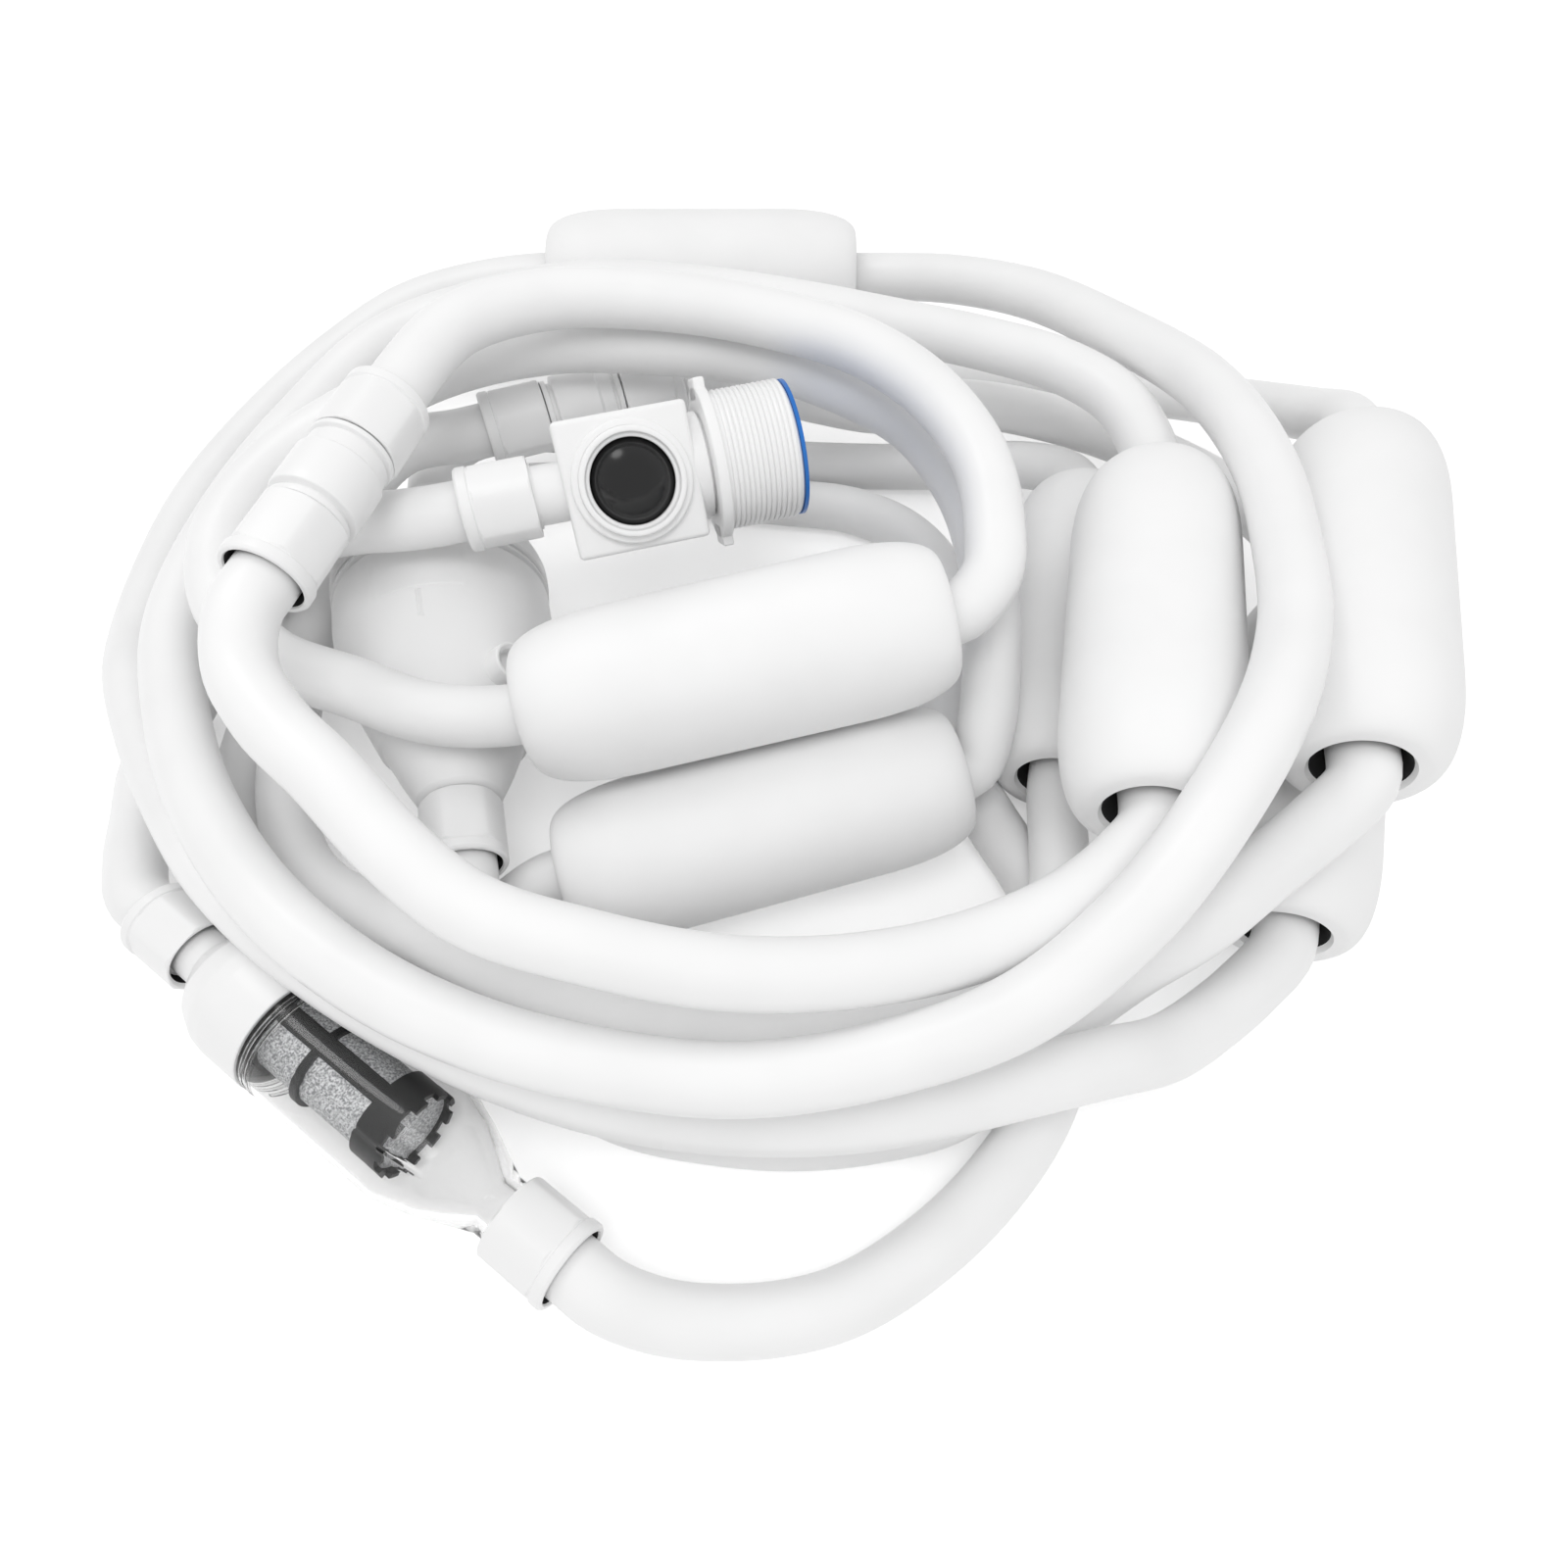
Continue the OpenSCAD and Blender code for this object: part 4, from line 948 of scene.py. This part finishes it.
def makeValve():
    r, wall, seam, top = valve["radius"], valve["wall"], valve["seam"], valveTop / mm
    inner, way = r - wall, valve["way"]
    capOutline = rounded(
        [
            (way, top + 25), (12.6, top + 25), (12.8, top + 31.6, 1), (22, top + 33.4, 2),
            (r - 9, top + 40, 8), (r - 3.5, top + 46, 8), (r - 1, top + 53, 6), (r, seam - 8, 4),
            (r, seam - 1.0, 0.5), (r - 0.8, seam, 0.4), (inner, seam), (inner, seam - 8, 5),
            (r - 6.5, top + 48, 6), (r - 13, top + 43, 6), (way, top + 36, 1),
        ],
        6,
    )
    spigotOutline = [
        (way, top + 2), (9.4, top + 2), (9.4, top + 16.2), (13, top + 16.2), (14, top + 17.2),
        (14, top + 24.6), (12.6, top + 25.4), (way, top + 25.4),
    ]
    cap = joined("valveCap", [turnedMesh("cap", capOutline, 160), turnedMesh("capSpigot", spigotOutline)])
    piece("valveCap", cap, valvePlace, whiteAbs, "hose_line", ["valve_cap"])

    neck = valve["neck"]
    outside = [
        (r - 2.7, seam + 0.3), (r - 2.7, seam + 1.7, 0.3), (r - 0.5, seam + 2.3, 0.4),
        (r - 0.4, seam + 4.2, 0.4), (r - 2.7, seam + 4.8, 0.3), (r - 2.7, seam + 6.0, 0.3),
        (r - 1.0, seam + 6.8, 0.5), (r - 0.9, -12.6), (r - 0.9, -12.2), (r - 0.8, 0, 20),
        (r - 1.8, 12.2), (r - 1.9, 12.8), (r - 2.1, 14.4), (r - 2.2, 14.8), (r - 4.9, 26.8),
        (r - 5, 27.2), (r - 9.5, 42, 60), (r - 15, 56, 60), (r - 18.6, 65.4, 1.2),
        (r - 20.4, 66.2, 0.6), (r - 27, 82, 20), (18.6, neck - 3, 2), (15.6, neck - 1, 0.8),
        (13, neck - 1),
    ]
    bodyOutline = rounded(
        [(inner, seam + 0.3)] + outside + [
            (13, neck + 2), (14, neck + 3), (14, neck + 14.8), (13, neck + 15.2), (9.4, neck + 15.2),
            (9.4, neck + 29), (way, neck + 29), (way, neck - 5), (inner - 27, 79, 20),
            (inner - 15, 54, 60), (inner - 9.5, 40, 60), (inner - 5, 26, 60), (inner - 2, 13, 60),
            (inner, 0, 20),
        ],
        6,
    )
    body = turnedMesh("valveBody", bodyOutline, 224, valveAcross)
    piece("valveBody", body, valvePlace, whiteAbs, "hose_line", ["valve_body"], crease=26)

    jet = valve["jetRadius"]
    jetPlace = (
        valvePlace @ Matrix.Rotation(math.radians(133), 4, "Z") @ Matrix.Translation((0.024, 0, 0.044))
        @ Matrix.Rotation(math.radians(78), 4, "Y")
    )
    jetOutline = rounded(
        [(jet - 3, 0), (jet, 0), (jet, 24, 1.2), (jet - 1.4, 24, 0.5), (jet - 3, 22.5, 0.5)]
    )
    piece("valveJet", turnedMesh("valveJet", jetOutline, 48), jetPlace, whiteAbs, "hose_line", ["valve_jet"])


makeValve()
print("valve closed")


# Wall connection

block = {
    "side": 57.0,
    "depth": 46.0,
    "edge": 2.2,
    "boss": 25.5,
    "collar": 22.8,
    "ball": 20.0,
    "ballHeight": 16.33,
    "chamber": 20.3,
    "lip": 17.8,
    "fittingStart": 34.5,
    "fittingBore": 26.15,
    "thread": 30.15,
    "threadLength": 33.0,
    "threadPitch": 2.3,
    "ears": 72.0,
}


def bevelledBox(name, size, middle, edge):  # sizes in mm
    work = bmesh.new()
    bmesh.ops.create_cube(work, size=1.0)
    bmesh.ops.scale(work, vec=[s * mm for s in size], verts=work.verts)
    bmesh.ops.translate(work, vec=[c * mm for c in middle], verts=work.verts)
    bmesh.ops.bevel(work, geom=work.edges[:], offset=edge * mm, segments=4, profile=0.5, affect="EDGES")
    made = bpy.data.meshes.new(name)
    work.to_mesh(made)
    work.free()
    return made


def carved(name, base, joins, cuts):  # boolean of meshes in one frame
    body = newObject(name + "Raw", base)
    tools = []
    for mesh, kind in [(m, "UNION") for m in joins] + [(m, "DIFFERENCE") for m in cuts]:
        tool = newObject(name + "Tool", mesh)
        tools.append(tool)
        modifier = body.modifiers.new(kind, "BOOLEAN")
        modifier.object, modifier.operation, modifier.solver = tool, kind, "EXACT"
    made = plainCopy(body, name)
    mesh = made.data.copy()
    bpy.data.objects.remove(made)
    for tool in tools:
        bpy.data.objects.remove(tool)
    return cleaned(mesh)


def makeBlock():
    b = block
    side, depth, along = b["side"], b["depth"], Matrix.Rotation(math.pi / 2, 4, "Y")
    base = bevelledBox("block", (side, side, depth), (0, 0, 0), b["edge"])
    bossTop = depth / 2 + 4
    bossOutline = rounded([(0, 0), (b["boss"], 0), (b["boss"], bossTop, 1.2), (0, bossTop)])
    boss = turnedMesh("boss", bossOutline, 128)
    collarOutline = rounded([(0, 20), (b["collar"], 20), (b["collar"], 34, 0.8), (0, 34)])
    collar = turnedMesh("collar", collarOutline)
    collar.transform(along)
    chamber = turnedMesh("chamber", [(0, -19), (b["chamber"], -19), (b["chamber"], 60), (0, 60)], 128)
    seat = turnedMesh("seat", [(0, depth / 2 - 6), (22.55, depth / 2 - 6), (22.55, 60), (0, 60)], 128)
    inlet = turnedMesh("inlet", [(0, -50), (7.5, -50), (7.5, 0), (0, 0)], 48)
    socket = turnedMesh("socket", [(0, -50), (11.05, -50), (11.05, -22.5), (0, -22.5)], 64)
    outlet = turnedMesh("outlet", [(0, 5), (20.2, 5), (20.2, 60), (0, 60)])
    for mesh in (inlet, socket, outlet):
        mesh.transform(along)
    mesh = carved("disconnectBlock", base, [boss, collar], [chamber, seat, inlet, socket, outlet])
    piece("disconnectBlock", mesh, blockPlace, whiteAbs, "hose_line", ["disconnect_block"], crease=28)

    ringTop, outer, ringFoot = depth / 2 + 8, b["boss"] - 3, depth / 2 - 5.8
    lip = b["lip"]
    ringOutline = rounded(
        [
            (b["chamber"], ringFoot), (outer, ringFoot), (outer, ringTop, 1.4),
            (outer - 2.6, ringTop, 0.7), (outer - 3.1, ringTop - 2.5, 0.6), (lip, ringTop - 2.5, 0.7),
            (lip, ringTop - 4.5, 0.3), (b["chamber"], ringTop - 11),
        ]
    )
    ring = turnedMesh("reliefRing", ringOutline, 128)
    piece("reliefRing", ring, blockPlace, whiteAbs, "hose_line", ["relief_ring"])

    steps = 64
    angles = [math.pi * k / steps for k in range(steps + 1)]
    arc = [(b["ball"] * math.sin(a), b["ballHeight"] - b["ball"] * math.cos(a)) for a in angles]
    ball = turnedMesh("reliefBall", arc, 128)
    piece("reliefBall", ball, blockPlace, ballBlack, "relief_ball", ["relief_ball"])


def makeFitting():
    b = block
    start = b["fittingStart"]
    r, long = b["thread"], b["threadLength"]
    far = start + 5.4 + long
    pipe = turnedMesh("pipe", [(16, 22.5), (20.15, 22.5), (20.15, start + 1), (16, start + 1)])
    flangeOutline = [(16, start + 0.4), (r + 3, start + 0.4, 1), (r + 3, start + 5.4, 1), (16, start + 5.4)]
    flange = turnedMesh("flange", rounded(flangeOutline), 128)
    root, bore = r - 1.1, b["fittingBore"]
    barrelOutline = [
        (bore, start + 4), (root, start + 4), (root, far - 1, 0.8), (root - 1, far, 0.5), (bore, far),
    ]
    barrel = turnedMesh("barrel", rounded(barrelOutline), 128)
    parts = [pipe, flange, barrel]
    turns = long / b["threadPitch"] - 1.2
    thread = threadMesh("wallThread", root - 0.1, b["threadPitch"], turns, 1.15, whiteAbs)
    thread.transform(Matrix.Translation((0, 0, (start + 7.2) * mm)))
    parts.append(thread)
    for side in (-1, 1):
        reach = b["ears"] / 2 - 5
        ear = bevelledBox("ear", (18, 10, 5), (0, side * reach, start + 2.9), 1.0)
        parts.append(ear)
    whole = joined("wallFitting", parts)
    piece("wallFitting", whole, alongBlock(0), whiteAbs, "wall_fitting", ["wall_fitting"], crease=40)


makeBlock()
makeFitting()
print("wall connection built")


def makeSpring():
    low, high = -18.0, -4.4
    turns = 5.0
    mesh = threadMesh("reliefSpring", 8.0, (high - low) / turns, turns, 0.9, steel)
    mesh.transform(Matrix.Translation((0, 0, low * mm)))
    made = piece("reliefSpring", mesh, blockPlace, steel, "hose_line", ["relief_spring"])
    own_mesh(made)


makeSpring()

# The CAD nodes that stay: each takes the material of its slot


def dressFrame():
    slots = {s["node"]: s["material_slot"] for s in frame["record"]["subparts"]}
    for name, node in frame["nodes"].items():
        if node.hide_render:
            continue
        node.data.materials.clear()
        node.data.materials.append(slotMaterials[slots[name]])


dressFrame()

# Floor and light

stage = {"floorSize": 40.0, "floorColour": "#f4f4f4", "floorGlow": 0.36, "worldStrength": 0.72}


def either(tree, one, other):
    return addNode(tree, "ShaderNodeMath", {0: one, 1: other}, operation="MAXIMUM").outputs[0]


def makeFloor():
    mesh = bpy.data.meshes.new("floor")
    s = stage["floorSize"] / 2
    mesh.from_pydata([(-s, -s, 0), (s, -s, 0), (s, s, 0), (-s, s, 0)], [], [(0, 1, 2, 3)])
    floor = newObject("floor", mesh)
    made, tree, shader = plainMaterial("paperFloor", stage["floorColour"], 0.9)
    rays = addNode(tree, "ShaderNodeLightPath")
    direct = either(tree, rays.outputs["Is Camera Ray"], rays.outputs["Is Glossy Ray"])
    seen = either(tree, direct, rays.outputs["Is Transmission Ray"])
    glow = addNode(tree, "ShaderNodeMath", {0: seen, 1: stage["floorGlow"]}, operation="MULTIPLY")
    shader.inputs["Emission Color"].default_value = (1, 1, 1, 1)
    tree.links.new(glow.outputs[0], shader.inputs["Emission Strength"])
    mesh.materials.append(made)


def makeWorld():
    world = bpy.data.worlds.new("studio")
    bpy.context.scene.world = world
    world.use_nodes = True
    tree = world.node_tree
    tree.nodes.clear()
    rays = addNode(tree, "ShaderNodeLightPath")
    seen = either(tree, rays.outputs["Is Camera Ray"], rays.outputs["Is Transmission Ray"])
    strength = addNode(
        tree, "ShaderNodeMapRange", {"Value": seen, "To Min": stage["worldStrength"], "To Max": 1.0}
    )
    sky = addNode(
        tree, "ShaderNodeBackground", {"Color": (1, 1, 1, 1), "Strength": strength.outputs["Result"]}
    )
    addNode(tree, "ShaderNodeOutputWorld", {"Surface": sky.outputs["Background"]})


lamps = {
    "key": {"at": (0.0, -0.45, 1.25), "size": 0.6, "power": 4.1, "mirrored": False},
    "back": {"at": (-0.55, 0.45, 1.25), "size": 0.5, "power": 1.7, "mirrored": True},
}


def makeLamps():
    for name, lamp in lamps.items():
        data = bpy.data.lights.new(name, "AREA")
        data.shape, data.size, data.energy = "DISK", lamp["size"], lamp["power"]
        made = newObject(name, data)
        made.location = lamp["at"]
        made.visible_glossy = lamp["mirrored"]  # the tent round the object hides the key from its gloss
        made.rotation_euler = (Vector((0, 0, 0)) - Vector(lamp["at"])).to_track_quat("-Z", "Y").to_euler()


makeFloor()
makeWorld()
makeLamps()
print("stage lit")
